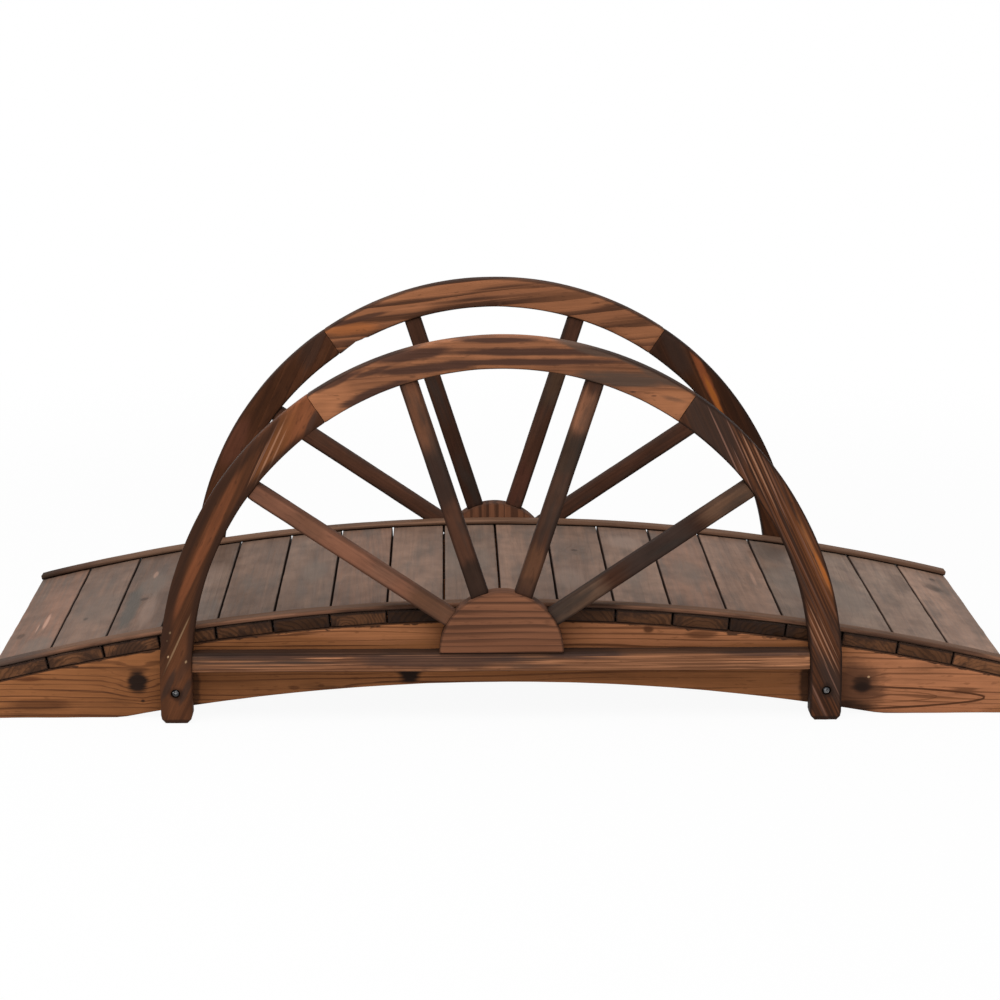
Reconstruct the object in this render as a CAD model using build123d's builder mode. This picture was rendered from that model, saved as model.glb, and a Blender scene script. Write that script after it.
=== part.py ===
from build123d import *
import os
from math import asin, cos, hypot, radians, sin

# Garden footbridge with half-wheel railings, in millimetres.
# X runs along the walkway, Y across it with the front at -Y, and Z is up from the ground.

# Deck: flat boards across the bridge, their top faces touching one shallow arc
deck_length = 1524.0
deck_rise = 92.5
deck_crown_height = 167.5
deck_width = 586.0
plank_count = 18
plank_gap = 2.4
plank_thickness = 19.0
plank_edge_radius = 1.5

# Bent strips on the boards along both long edges of the deck
strip_width = 26.5
strip_thickness = 8.0
strip_edge_chamfer = 2.5

# Beams under the boards, cut to an arch below
stringer_thickness = 32.0
arch_span = 1140.0
arch_rise = 52.0
arch_edge_chamfer = 2.0

# Half-wheel rim in three felloes, the side ones running down to the ground as legs
rim_outer_radius = 508.0
rim_width = 47.5
rim_thickness = 32.0
rim_centre_height = 72.5
rim_edge_chamfer = 2.5
seam_angle = 56.0
foot_chamfer = 8.0

# Bar between the legs, the half disc that stands on it, and the spokes
rail_top_height = 106.0
rail_height = 29.5
rail_thickness = 28.0
rail_edge_radius = 2.0
hub_radius = 92.5
hub_edge_chamfer = 2.5
spoke_width = 28.0
spoke_thickness = 24.0
spoke_edge_radius = 4.0
outer_spoke_angle = 34.0
inner_spoke_angle = 72.0
inner_spoke_offset = 4.5

straight_angle = 180.0
right_angle = straight_angle / 2

# The deck's arc, from its length and rise
deck_half_width = deck_width / 2
deck_radius = ((deck_length / 2) ** 2 + deck_rise**2) / (2 * deck_rise)
arc_centre_height = deck_crown_height - deck_radius
deck_half_angle = asin(deck_length / 2 / deck_radius)
deck_arc_length = 2 * deck_half_angle * deck_radius
plank_width = (deck_arc_length - (plank_count - 1) * plank_gap) / plank_count
plank_step = (plank_width + plank_gap) / deck_radius
last_plank_angle = deck_half_angle - plank_width / 2 / deck_radius

# The boards rest on the stringers along their middle lines, the strips rest on the edges
# of the boards' flat tops, and the stringers end below the last boards' lower edges
stringer_top_radius = deck_radius - plank_thickness
stringer_half_length = stringer_top_radius * sin(last_plank_angle) + plank_width / 2 * cos(last_plank_angle)
stringer_end_angle = asin(stringer_half_length / stringer_top_radius)
strip_bottom_radius = hypot(deck_radius, plank_width / 2 - plank_edge_radius)
strip_top_radius = strip_bottom_radius + strip_thickness

# The railing stands against the deck's outer face, its spokes in the middle of its thickness
rim_inner_radius = rim_outer_radius - rim_width
deck_face = Plane.XZ.offset(deck_half_width)
spoke_face = deck_face.offset((rim_thickness - spoke_thickness) / 2)


def on_deck_arc(radius, angle):
    """A point of the deck's section, at an angle in radians from straight up."""
    return (radius * sin(angle), arc_centre_height + radius * cos(angle))


def on_rim(radius, angle):
    """A point of the wheel, at an angle in degrees up from +X."""
    turn = radians(angle)
    return (radius * cos(turn), rim_centre_height + radius * sin(turn))


os.makedirs("parts", exist_ok=True)

# Boards, each flat and touching the deck's arc along its middle
for number in range(plank_count):
    angle = number * plank_step - last_plank_angle
    across, height = on_deck_arc(deck_radius, angle)
    top_face = Plane((across, 0, height), (cos(angle), 0, -sin(angle)), (sin(angle), 0, cos(angle)))
    with BuildPart() as plank:
        with BuildSketch(top_face):
            Rectangle(plank_width, deck_width)
        extrude(amount=-plank_thickness)
        long_edges = plank.edges().filter_by(Axis.Y)
        fillet(long_edges.sort_by_distance(top_face.origin)[:2], plank_edge_radius)
    plank.part.label = f"deck_plank_{number + 1:02d}"
    export_step(plank.part, f"parts/{plank.part.label}.step")

# Side beam: arched top under the boards, flat feet and an arch between them
with BuildPart() as stringer:
    with BuildSketch(deck_face):
        with BuildLine():
            left_end = on_deck_arc(stringer_top_radius, -stringer_end_angle)
            right_end = on_deck_arc(stringer_top_radius, stringer_end_angle)
            ThreePointArc(left_end, on_deck_arc(stringer_top_radius, 0), right_end)
            Polyline(right_end, (stringer_half_length, 0), (arch_span / 2, 0))
            ThreePointArc((arch_span / 2, 0), (0, arch_rise), (-arch_span / 2, 0))
            Polyline((-arch_span / 2, 0), (-stringer_half_length, 0), left_end)
        make_face()
    extrude(amount=-stringer_thickness)
    arch_edges = stringer.edges().filter_by(GeomType.CIRCLE).sort_by(SortBy.RADIUS)[:2]
    chamfer(arch_edges, arch_edge_chamfer)

# A third beam of the same outline carries the boards at the middle of their length
with BuildPart() as middle_stringer:
    with Locations((0, deck_half_width - stringer_thickness / 2, 0)):
        add(stringer.part)
middle_stringer.part.label = "middle_stringer"
export_step(middle_stringer.part, f"parts/{middle_stringer.part.label}.step")

# Edge strip, bent along the boards and flush with their ends
with BuildPart() as edge_strip:
    with BuildSketch(deck_face):
        with BuildLine():
            low_left = on_deck_arc(strip_bottom_radius, -deck_half_angle)
            low_right = on_deck_arc(strip_bottom_radius, deck_half_angle)
            high_left = on_deck_arc(strip_top_radius, -deck_half_angle)
            high_right = on_deck_arc(strip_top_radius, deck_half_angle)
            ThreePointArc(low_left, on_deck_arc(strip_bottom_radius, 0), low_right)
            Line(low_right, high_right)
            ThreePointArc(high_right, on_deck_arc(strip_top_radius, 0), high_left)
            Line(high_left, low_left)
        make_face()
    extrude(amount=-strip_width)
    chamfer(edge_strip.edges().filter_by(GeomType.CIRCLE).sort_by(SortBy.RADIUS)[-2:], strip_edge_chamfer)

# Top felloe of the rim, between the two radial seams
with BuildPart() as rim_top:
    with BuildSketch(deck_face):
        with BuildLine():
            far_seam_angle = straight_angle - seam_angle
            Line(on_rim(rim_inner_radius, seam_angle), on_rim(rim_outer_radius, seam_angle))
            ThreePointArc(
                on_rim(rim_outer_radius, seam_angle),
                on_rim(rim_outer_radius, right_angle),
                on_rim(rim_outer_radius, far_seam_angle),
            )
            Line(on_rim(rim_outer_radius, far_seam_angle), on_rim(rim_inner_radius, far_seam_angle))
            ThreePointArc(
                on_rim(rim_inner_radius, far_seam_angle),
                on_rim(rim_inner_radius, right_angle),
                on_rim(rim_inner_radius, seam_angle),
            )
        make_face()
    extrude(amount=rim_thickness)
    chamfer(rim_top.edges().filter_by(GeomType.CIRCLE), rim_edge_chamfer)

# Right felloe: an arc from the seam down to the wheel's centre height, then a straight leg
with BuildPart() as rim_right:
    with BuildSketch(deck_face):
        with BuildLine():
            Line(on_rim(rim_outer_radius, seam_angle), on_rim(rim_inner_radius, seam_angle))
            ThreePointArc(
                on_rim(rim_inner_radius, seam_angle),
                on_rim(rim_inner_radius, seam_angle / 2),
                on_rim(rim_inner_radius, 0),
            )
            Polyline(
                on_rim(rim_inner_radius, 0),
                (rim_inner_radius, foot_chamfer),
                (rim_inner_radius + foot_chamfer, 0),
                (rim_outer_radius - foot_chamfer, 0),
                (rim_outer_radius, foot_chamfer),
                on_rim(rim_outer_radius, 0),
            )
            ThreePointArc(
                on_rim(rim_outer_radius, 0),
                on_rim(rim_outer_radius, seam_angle / 2),
                on_rim(rim_outer_radius, seam_angle),
            )
        make_face()
    extrude(amount=rim_thickness)
    leg_edges = rim_right.edges().filter_by(Axis.Z)
    chamfer(rim_right.edges().filter_by(GeomType.CIRCLE) + leg_edges, rim_edge_chamfer)

with BuildPart() as rim_left:
    mirror(rim_right.part, about=Plane.YZ)

# Bar across the wheel's foot, its ends cut to the rim's inner arc
with BuildPart() as rail:
    with BuildSketch(deck_face):
        with Locations((0, rail_top_height)):
            Rectangle(2 * rim_inner_radius, rail_height, align=(Align.CENTER, Align.MAX))
        with Locations((0, rim_centre_height)):
            Circle(rim_inner_radius, mode=Mode.INTERSECT)
    extrude(amount=rail_thickness)
    fillet(rail.faces().sort_by(Axis.Y)[0].edges().filter_by(Axis.X), rail_edge_radius)

# Half disc on the bar
with BuildPart() as hub:
    with BuildSketch(deck_face):
        with BuildLine():
            hub_left = (-hub_radius, rail_top_height)
            hub_right = (hub_radius, rail_top_height)
            Line(hub_left, hub_right)
            ThreePointArc(hub_right, (0, rail_top_height + hub_radius), hub_left)
        make_face()
    extrude(amount=rim_thickness)
    chamfer(hub.faces().sort_by(Axis.Y)[0].edges().filter_by(GeomType.CIRCLE), hub_edge_chamfer)

front_pieces = {
    "stringer": stringer.part,
    "edge_strip": edge_strip.part,
    "rim_left": rim_left.part,
    "rim_top": rim_top.part,
    "rim_right": rim_right.part,
    "rail": rail.part,
    "hub": hub.part,
}

# Spokes, running out from near the middle of the half disc's base and cut by its edge and by the rim
spoke_lines = {
    "spoke_outer_right": (0, outer_spoke_angle),
    "spoke_inner_right": (inner_spoke_offset, inner_spoke_angle),
    "spoke_inner_left": (-inner_spoke_offset, straight_angle - inner_spoke_angle),
    "spoke_outer_left": (0, straight_angle - outer_spoke_angle),
}
for name, (offset, angle) in spoke_lines.items():
    with BuildPart() as spoke:
        with BuildSketch(spoke_face):
            with Locations(Location((offset, rail_top_height), angle)):
                Rectangle(rim_outer_radius, spoke_width, align=(Align.MIN, Align.CENTER))
            with Locations((0, rim_centre_height)):
                Circle(rim_inner_radius, mode=Mode.INTERSECT)
            with Locations((0, rail_top_height)):
                Circle(hub_radius, mode=Mode.SUBTRACT)
        extrude(amount=spoke_thickness)
        fillet(spoke.edges().filter_by(GeomType.LINE).sort_by(SortBy.LENGTH)[-4:], spoke_edge_radius)
    front_pieces[name] = spoke.part

# The back railing and beam mirror the front ones
for name, front_piece in front_pieces.items():
    front_piece.label = f"front_{name}"
    export_step(front_piece, f"parts/{front_piece.label}.step")
    with BuildPart() as back_piece:
        mirror(front_piece, about=Plane.XZ)
    back_piece.part.label = f"back_{name}"
    export_step(back_piece.part, f"parts/{back_piece.part.label}.step")
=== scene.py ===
import math
import random

import bpy
from mathutils import Matrix, Vector, noise


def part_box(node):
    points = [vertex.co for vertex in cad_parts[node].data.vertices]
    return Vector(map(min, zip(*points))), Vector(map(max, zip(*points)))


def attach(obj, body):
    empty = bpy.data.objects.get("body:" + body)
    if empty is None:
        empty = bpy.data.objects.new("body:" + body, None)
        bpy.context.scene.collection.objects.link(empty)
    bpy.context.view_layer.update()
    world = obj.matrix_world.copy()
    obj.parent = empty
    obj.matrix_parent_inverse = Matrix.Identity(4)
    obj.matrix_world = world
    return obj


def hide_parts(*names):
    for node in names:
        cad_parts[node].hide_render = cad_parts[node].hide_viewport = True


bl_info = {
    "name": "Moon Bridge Dressing",
    "version": (1, 0, 0),
    "blender": (4, 5, 0),
    "location": "3D View > Sidebar > Bridge",
    "description": "Dresses an arched garden bridge in torch-burnt softwood",
    "category": "Object",
}

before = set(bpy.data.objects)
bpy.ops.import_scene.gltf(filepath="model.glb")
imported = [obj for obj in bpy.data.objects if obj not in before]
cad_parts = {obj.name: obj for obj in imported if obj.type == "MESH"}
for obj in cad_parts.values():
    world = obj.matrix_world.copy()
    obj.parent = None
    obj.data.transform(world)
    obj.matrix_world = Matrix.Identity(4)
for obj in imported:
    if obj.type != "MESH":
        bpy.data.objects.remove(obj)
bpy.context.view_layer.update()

# Places and sizes read from the frame, in metres
PLANKS = sorted(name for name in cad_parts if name.startswith("deck_plank"))
SIDES = (("front", -1), ("back", 1))
HANDS = (("left", -1), ("right", 1))
DECK_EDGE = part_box("deck_plank_09")[1].y
RIM_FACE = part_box("back_rim_top")[1].y
RIM_DEPTH = RIM_FACE - DECK_EDGE
RIM_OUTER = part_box("back_rim_right")[1].x
RIM_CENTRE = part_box("back_rim_top")[1].z - RIM_OUTER
RAIL_LOW, RAIL_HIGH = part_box("back_rail")
RIM_INNER = math.hypot(RAIL_HIGH.x, RAIL_LOW.z - RIM_CENTRE)
RIM_MIDDLE = (RIM_OUTER + RIM_INNER) / 2
RIM_WIDTH = RIM_OUTER - RIM_INNER
HUB_LOW, HUB_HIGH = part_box("back_hub")
HUB_RADIUS = HUB_HIGH.x
BEAM_LOW, BEAM_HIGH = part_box("back_stringer")
STRIP_LOW, STRIP_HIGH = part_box("back_edge_strip")
SPOKE_LOW, SPOKE_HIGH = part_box("back_spoke_inner_right")

# Lines of the bridge that a node's box doesn't give, in metres and degrees
DECK_LENGTH = 1.524
DECK_RISE = 0.0925
PLANK_GAP = 0.0024
PLANK_DEPTH = 0.019
STRIP_DEPTH = 0.008
ARCH_SPAN = 1.14
ARCH_RISE = 0.052
SEAM_ANGLE = 56.0
FOOT_CHAMFER = 0.008
SPOKE_WIDTH = 0.028
SPOKES = {"outer_right": (0.0, 34.0), "inner_right": (0.0045, 72.0),
          "inner_left": (-0.0045, 108.0), "outer_left": (0.0, 146.0)}
FELLOE_LEAN = 65.0
BOLT_REACH = 0.485
# Heights between which a dark line runs round each leg's foot, partly burnt and partly painted contact shadow
FOOT_LINE = (0.0030, 0.0085)

# Faces that meet at less than this angle look smooth, and ends nearer than this lie level
SMOOTH_ANGLE = math.radians(40.0)
LEVEL = 1e-5

# Features per metre of uneven faces and of worn edges, along a bar and across it
RIPPLE, WORN = (5.0, 32.0), (22.0, 60.0)

DECK_RADIUS = ((DECK_LENGTH / 2) ** 2 + DECK_RISE ** 2) / (2 * DECK_RISE)
BEAM_RADIUS = DECK_RADIUS - PLANK_DEPTH
ARC_CENTRE = BEAM_HIGH.z - BEAM_RADIUS
DECK_HALF_ANGLE = math.asin(DECK_LENGTH / 2 / DECK_RADIUS)
PLANK_WIDTH = (2 * DECK_HALF_ANGLE * DECK_RADIUS + PLANK_GAP) / len(PLANKS) - PLANK_GAP
PLANK_STEP = (PLANK_WIDTH + PLANK_GAP) / DECK_RADIUS
ARCH_RADIUS = ((ARCH_SPAN / 2) ** 2 + ARCH_RISE ** 2) / (2 * ARCH_RISE)


class Wire:
    """A shader socket. Sums and products of wires and numbers add Math nodes."""

    def __init__(self, socket):
        self.socket = socket
        self.tree = socket.id_data

    @classmethod
    def add(cls, tree, kind, settings=None, inputs=None, output=0):
        """Adds a node, sets its settings, then fills or links its sockets."""
        node = tree.nodes.new(kind)
        for key, value in (settings or {}).items():
            setattr(node, key, value)
        for key, value in (inputs or {}).items():
            if isinstance(value, Wire):
                tree.links.new(value.socket, node.inputs[key])
            else:
                node.inputs[key].default_value = value
        return cls(node.outputs[output])

    def math(self, operation, *others):
        inputs = dict(enumerate((self, *others)))
        return Wire.add(self.tree, "ShaderNodeMath", {"operation": operation}, inputs)

    def __add__(self, other):
        return self.math("ADD", other)

    def __radd__(self, other):
        return self.math("ADD", other)

    def __sub__(self, other):
        return self.math("SUBTRACT", other)

    def __rsub__(self, other):
        return Wire.add(self.tree, "ShaderNodeMath", {"operation": "SUBTRACT"}, {0: other, 1: self})

    def __mul__(self, other):
        return self.math("MULTIPLY", other)

    def __rmul__(self, other):
        return self.math("MULTIPLY", other)

    def __truediv__(self, other):
        return self.math("DIVIDE", other)

    def __abs__(self):
        return self.math("ABSOLUTE")

    def step(self, low, high):
        """0 below low, 1 above high, smooth between."""
        inputs = {"Value": self, "From Min": low, "From Max": high}
        return Wire.add(self.tree, "ShaderNodeMapRange", {"interpolation_type": "SMOOTHSTEP"}, inputs)

    def mix(self, first, second):
        """The colour first where this wire is 0, and second where it is 1."""
        return Wire.add(self.tree, "ShaderNodeMix", {"data_type": "RGBA"}, {0: self, 6: first, 7: second}, 2)

    def shift(self, offset):
        return Wire.add(self.tree, "ShaderNodeVectorMath", {"operation": "ADD"}, {0: self, 1: offset})

    def grain(self, scale, detail=2.0, roughness=0.5):
        """Noise from 0 to 1 over this vector, with features per metre for each axis."""
        spread = Wire.add(self.tree, "ShaderNodeVectorMath", {"operation": "MULTIPLY"}, {0: self, 1: scale})
        return Wire.add(self.tree, "ShaderNodeTexNoise", None,
                        {"Vector": spread, "Scale": 1.0, "Detail": detail, "Roughness": roughness})

    def axes(self):
        return [Wire.add(self.tree, "ShaderNodeSeparateXYZ", None, {0: self}, axis) for axis in range(3)]


def vector(x, y, z):
    tree = x.tree
    return Wire.add(tree, "ShaderNodeCombineXYZ", None, {0: x, 1: y, 2: z})


def root_of_squares(first, second):
    return (first * first + second * second).math("SQRT")


def new_material(name):
    material = bpy.data.materials.new(name)
    material.use_nodes = True
    material.node_tree.nodes.clear()
    return material, material.node_tree


def close_material(tree, surface):
    output = tree.nodes.new("ShaderNodeOutputMaterial")
    tree.links.new(surface.socket, output.inputs["Surface"])


class StraightGrain:
    """Grain that runs one way from an origin, with one side of the board outward."""

    def __init__(self, origin, along, up):
        x_axis, z_axis = Vector(along).normalized(), Vector(up).normalized()
        self.origin = Vector(origin)
        self.turn = Matrix((x_axis, z_axis.cross(x_axis), z_axis))

    def over(self, place):
        return Wire.add(place.tree, "ShaderNodeMapping", {"vector_type": "TEXTURE"},
                        {"Vector": place, "Location": self.origin,
                         "Rotation": self.turn.transposed().to_euler()})

    def at(self, point):
        return self.turn @ (Vector(point) - self.origin)


class BentGrain:
    """Grain that follows the arc of the deck at one radius, round a middle line."""

    def __init__(self, radius, middle):
        self.radius, self.middle = radius, middle

    def over(self, place):
        x, y, z = place.axes()
        rise = z - ARC_CENTRE
        return vector(x.math("ARCTAN2", rise) * self.radius, y - self.middle,
                      root_of_squares(x, rise) - self.radius)

    def at(self, point):
        x, y, z = point
        rise = z - ARC_CENTRE
        return math.atan2(x, rise) * self.radius, y - self.middle, math.hypot(x, rise) - self.radius


# Patterns of the wood, in features per metre along the grain, across it and through the board
BROAD, STREAK, FIBRE = (2.6, 14.0, 14.0), (3.4, 120.0, 120.0), (16.0, 620.0, 620.0)
WANDER, RISE, DRIFT = (1.7, 8.0, 8.0), (2.3, 11.0, 11.0), (0.9, 48.0, 48.0)
CLOUD, PATCH, FLECK = (26.0, 34.0, 34.0), (3.0, 22.0, 22.0), (48.0, 190.0, 190.0)


def timber(name, grain, cut, tone, edge=None, end=None, knots=(), warm=(), marks=(), loops=(), seed=0):
    """Solid burnt softwood: growth rings round a pith line, fibres along it, torch marks over both, and painted
    shade in some edges and marks.
    """
    material, tree = new_material(name)
    draw = random.Random(seed)
    place = Wire.add(tree, "ShaderNodeTexCoord", output=3)
    local = grain.over(place)
    x, y, z = local.axes()
    offset = tuple(draw.uniform(-9.0, 9.0) for _ in range(3))
    drawn = local.shift(offset)

    # Rings round the pith, which wanders along the board and bends round each knot.
    # Each pattern is shifted by a step of its own, so that no two run together.
    broad = drawn.grain(BROAD, 3.0, 0.55)
    ring_y = y - cut["pith"][0] + (drawn.grain(WANDER) - 0.5) * cut["wander"]
    ring_z = z - cut["pith"][1] + x * cut["tilt"] + x * x * cut["crook"]
    ring_z = ring_z + (drawn.shift((3.1, 5.7, 1.9)).grain(RISE) - 0.5) * cut["wander"]
    radius = root_of_squares(ring_y, ring_z)
    heart = None
    for knot_x, knot_y, knot_size in knots:
        reach = root_of_squares((x - knot_x) / 1.4, y - knot_y) + (broad - 0.5) * knot_size * 0.8
        radius = radius + (1.0 - reach.step(0.0, knot_size * 4.0)) * knot_size * 1.3
        core = 1.0 - reach.step(knot_size * 0.45, knot_size * 1.2)
        heart = core if heart is None else heart.math("MAXIMUM", core)
    drift = drawn.shift((5.3, 8.1, 0.7)).grain(DRIFT)
    streak = drawn.grain(STREAK, 3.0, 0.6)
    ring = radius / cut["spacing"] + (broad - 0.5) * 0.5 + (drift - 0.5) * cut["drift"]
    ring = ring + (streak - 0.5) * cut["rag"]
    phase = ring.math("FRACT")

    # The late wood of each ring swells and thins out along the board
    swell = vector(x * cut["swell"], ring.math("FLOOR") * 7.31 + offset[0], z * 3.0).grain((1.0, 1.0, 1.0))
    early = 1.0 - swell.step(0.34, 0.66) * (cut["late"][1] - cut["late"][0]) - cut["late"][0]
    late = phase.step(early - cut["soft"], early + cut["soft"]) * (1.0 - phase.step(0.93, 1.0))

    cloud = drawn.shift((4.4, 7.1, 2.5)).grain(CLOUD, 3.0, 0.56)

    def spread(spot, length, width, lean=0.0):
        """1 at a marked place, falling to 0 with a ragged border. A lean tilts it across the grain."""
        place_x, place_y, _ = grain.at(spot)
        along = x - place_x
        across = y - place_y - along * lean
        reach = root_of_squares(along / length, across / width) + (streak - 0.5) * 0.9 + (cloud - 0.5) * 0.5
        return 1.0 - reach.step(0.45, 1.0)

    # Broad tone, then wood the torch only warmed, late wood, pale hairlines, flecks and scorching
    fibre = drawn.grain(FIBRE, 3.0, 0.6)
    colour = (broad * 0.8 + streak * 0.6 - 0.2).step(0.25, 0.75).mix(tone["pale"], tone["deep"])
    for spot, length, width, shade, strength, *lean in warm:
        glow = spread(spot, length, width, *lean) * strength
        colour = glow.mix(colour, shade)
        late = late * (1.0 - glow * tone["clear"])
    patch = drawn.shift((1.3, 9.4, 6.6)).grain(PATCH, 3.0).step(0.32, 0.6)
    banded = late * tone["strength"] * (patch * (1.0 - tone["plain"]) + tone["plain"])
    colour = banded.mix(colour, tone["dark"])
    hair = drawn.shift((2.9, 6.3, 8.8)).grain(tone["hair_scale"]).step(*tone["hair_from"]) * patch
    colour = (hair * tone["hair"]).mix(colour, tone["lit"])
    fleck = drawn.shift((8.2, 1.7, 3.3)).grain(FLECK).step(0.62, 0.72)
    colour = (fleck * tone["fleck"]).mix(colour, tone["dark"])
    flame = drawn.shift((7.7, 2.2, 4.1)).grain(tone["flame_scale"], 4.0, 0.55) + (streak - 0.5) * 0.3
    scorch = flame.step(*tone["flame"]) * tone["scorch"]
    colour = scorch.mix(colour, tone["soot"])
    if end is not None:
        sawn = (late * 0.45).mix(tone["end_pale"], tone["end_dark"])
        sawn = (flame.step(0.46, 0.62) * 0.68).mix(sawn, tone["char"])
        colour = end(local).mix(colour, sawn)
    fine = fibre * tone["fibre"] + (streak - 0.5) * tone["streak"] + (1.0 - tone["fibre"] * 0.5)
    fine = fine + (cloud - 0.5) * tone["cloud"]
    colour = Wire.add(tree, "ShaderNodeMix", {"data_type": "RGBA", "blend_type": "MULTIPLY"},
                      {0: 1.0, 6: colour, 7: vector(fine, fine, fine)}, 2)

    # Loops of late wood, stains, nicks and some painted shadows, then burnt edges with some painted contact
    # shade, and knots
    for spot, bow, width, reach, shade, strength in loops:
        tip_x, tip_y, _ = grain.at(spot)
        rise = y - tip_y + (broad - 0.5) * 0.010
        slope = rise * (2.0 / bow)
        line = abs(x - tip_x + rise * rise / bow) / (slope * slope + 1.0).math("SQRT")
        line = line + (fibre - 0.5) * width * 0.6
        inked = (1.0 - line.step(width * 0.4, width)) * (1.0 - (tip_x - x).step(reach * 0.5, reach))
        colour = (inked * strength).mix(colour, shade)
    for spot, length, width, shade, strength, *lean in marks:
        colour = (spread(spot, length, width, *lean) * strength).mix(colour, shade)
    if edge is not None:
        ragged = (streak - 0.5) * tone["ragged"] + (broad - 0.5) * tone["ragged"]
        burnt = (edge(place, local) + ragged).step(0.15, 0.95)
        colour = (burnt * tone["edge"]).mix(colour, tone["char"])
    if heart is not None:
        colour = (heart * tone["knot"]).mix(colour, tone["char"])

    roughness = (fibre - 0.5) * 0.2 - (streak - 0.5) * 0.2 + scorch * 0.1 + tone["rough"]
    height = fibre * (tone["fibre"] * 0.75) + streak * (tone["streak"] * 0.75) + late * tone["ridge"]
    normal = Wire.add(tree, "ShaderNodeBump", None, {"Strength": 0.6, "Distance": 0.0011, "Height": height})
    surface = Wire.add(tree, "ShaderNodeBsdfPrincipled", None,
                       {"Base Color": colour, "Roughness": roughness, "Normal": normal,
                        "Specular IOR Level": tone["sheen"]})
    close_material(tree, surface)
    return material


def rgb(colour, lift=1.0):
    return (*(lift * part for part in colour[:3]), 1.0)


# Colours of single marks, besides those of the wood
SHADES = {
    "smear": (0.128, 0.100, 0.081), "dust": (0.225, 0.155, 0.120), "pink": (0.40, 0.23, 0.165),
    "gloom": (0.080, 0.060, 0.049), "grime": (0.066, 0.058, 0.049), "lighter": (0.37, 0.148, 0.069),
    "band": (0.062, 0.029, 0.020), "ash": (0.080, 0.049, 0.035), "coal": (0.040, 0.023, 0.017),
    "line": (0.33, 0.160, 0.092), "faint": (0.19, 0.095, 0.066), "dusk": (0.042, 0.027, 0.024),
}


def paint(wood, shade):
    """A colour by its name, by its name and a lift, or as it is written."""
    if isinstance(shade, str):
        shade = (shade, 1.0)
    if isinstance(shade[0], str):
        name, lift = shade
        return rgb(SHADES.get(name) or getattr(wood, name), lift)
    return rgb(shade)


def marks_at(wood, depth, rows):
    """Marks on an upright face at y = depth: x, z, half length, half width, shade, strength and any lean."""
    return [((x, depth, z), length, width, paint(wood, shade), *rest)
            for x, z, length, width, shade, *rest in rows]


# The finish of a timber where a piece has no other, and how much its hairlines are lighter than its wood
FINISH = {
    "hair": 0.25, "hair_from": (0.58, 0.68), "hair_scale": (2.4, 270.0, 270.0), "clear": 0.75, "fleck": 0.35,
    "knot": 0.9, "cloud": 0.0, "strength": 0.9, "plain": 0.5, "ridge": 0.4, "fibre": 0.4, "streak": 0.6,
    "rough": 0.6, "sheen": 0.04, "edge": 0.85, "ragged": 0.7, "scorch": 0.6, "flame": (0.5, 0.72),
    "flame_scale": (3.2, 17.0, 17.0), "char": "char", "soot": "char",
}
HAIR_LIFT = 1.7


def wood_tone(wood, kind, lift=1.0, **changes):
    """The finish of one kind of timber, with this piece's own changes. Colours may be given by name."""
    tone = {part: rgb(getattr(wood, f"{kind}_{part}"), lift) for part in ("pale", "deep", "dark")}
    tone["lit"] = rgb(getattr(wood, f"{kind}_pale"), lift * HAIR_LIFT)
    for part, value in {**FINISH, **changes}.items():
        tone[part] = paint(wood, value) if isinstance(value, str) else value
    return tone


def ring_cut(pith, spacing, late, tilt=0.0, crook=0.0, wander=0.03, swell=4.0, soft=0.14, drift=1.6, rag=0.5):
    """How a board was sawn: where its pith lies, how wide its rings are and how much of them is late wood."""
    return {"pith": pith, "spacing": spacing, "late": late, "tilt": tilt, "crook": crook,
            "wander": wander, "swell": swell, "soft": soft, "drift": drift, "rag": rag}


# Burnt edges, some with painted shade where parts meet: 0 inside a piece, rising to 1 at its border
def bar_edge(half_width, inner_share):
    return lambda place, local: abs(local.axes()[1]).step(half_width * inner_share, half_width)


def rim_edge(inner, outer, fade=None, foot=None):
    """Burnt between two shares of the half width on each side, and dark in a line round the foot that is partly
    burnt and partly painted contact shadow.

    The sides fade out between two heights above, and are fainter near the ground.
    """
    def burnt(place, local):
        x, _, z = place.axes()
        rise = (z - RIM_CENTRE).math("MAXIMUM", 0.0)
        off_middle = (root_of_squares(x, rise) - RIM_MIDDLE) / (RIM_WIDTH / 2)
        sides = off_middle.step(*outer).math("MAXIMUM", (off_middle * -1.0).step(*inner))
        if fade:
            sides = sides * (1.0 - z.step(*fade)) * (z.step(*foot) * 0.6 + 0.4)
        # The line round the foot is partly painted contact shadow.
        return sides.math("MAXIMUM", 1.0 - z.step(*FOOT_LINE))
    return burnt


def hub_edge(place, local):
    x, _, z = place.axes()
    return root_of_squares(x, z - HUB_LOW.z).step(HUB_RADIUS * 0.95, HUB_RADIUS)


def rail_edge(place, local):
    """Burnt black on top, and along the lower edge."""
    _, _, z = place.axes()
    above = z.step(RAIL_HIGH.z - 0.006, RAIL_HIGH.z - 0.001)
    return above.math("MAXIMUM", (1.0 - z.step(RAIL_LOW.z, RAIL_LOW.z + 0.003)) * 0.6)


def strip_foot_shadow(place, local):
    """Dark along the foot of a strip: painted contact shadow where it sits on the boards."""
    return 1.0 - local.axes()[2].step(-STRIP_DEPTH * 0.4, 0.0)


def strip_face(facing, half_width):
    """The outward side of a strip, left lighter than its top."""
    return lambda local: (local.axes()[1] * facing).step(half_width - 0.003, half_width - 0.0005)


def beam_edge(place, local):
    """A dark line and splinters along the top of a beam, under the boards. The line is painted shadow under the
    boards; the splinters are the beam's own.
    """
    x, _, z = place.axes()
    under = BEAM_RADIUS - root_of_squares(x, z - ARC_CENTRE)
    splinter = local.grain((34.0, 90.0, 34.0), 3.0, 0.6)
    # Painted shadow under the boards
    line = 1.0 - under.step(0.0014, 0.0038)
    return line.math("MAXIMUM", 1.0 - (under - splinter * 0.03 + 0.0155).step(0.0, 0.004))


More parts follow.
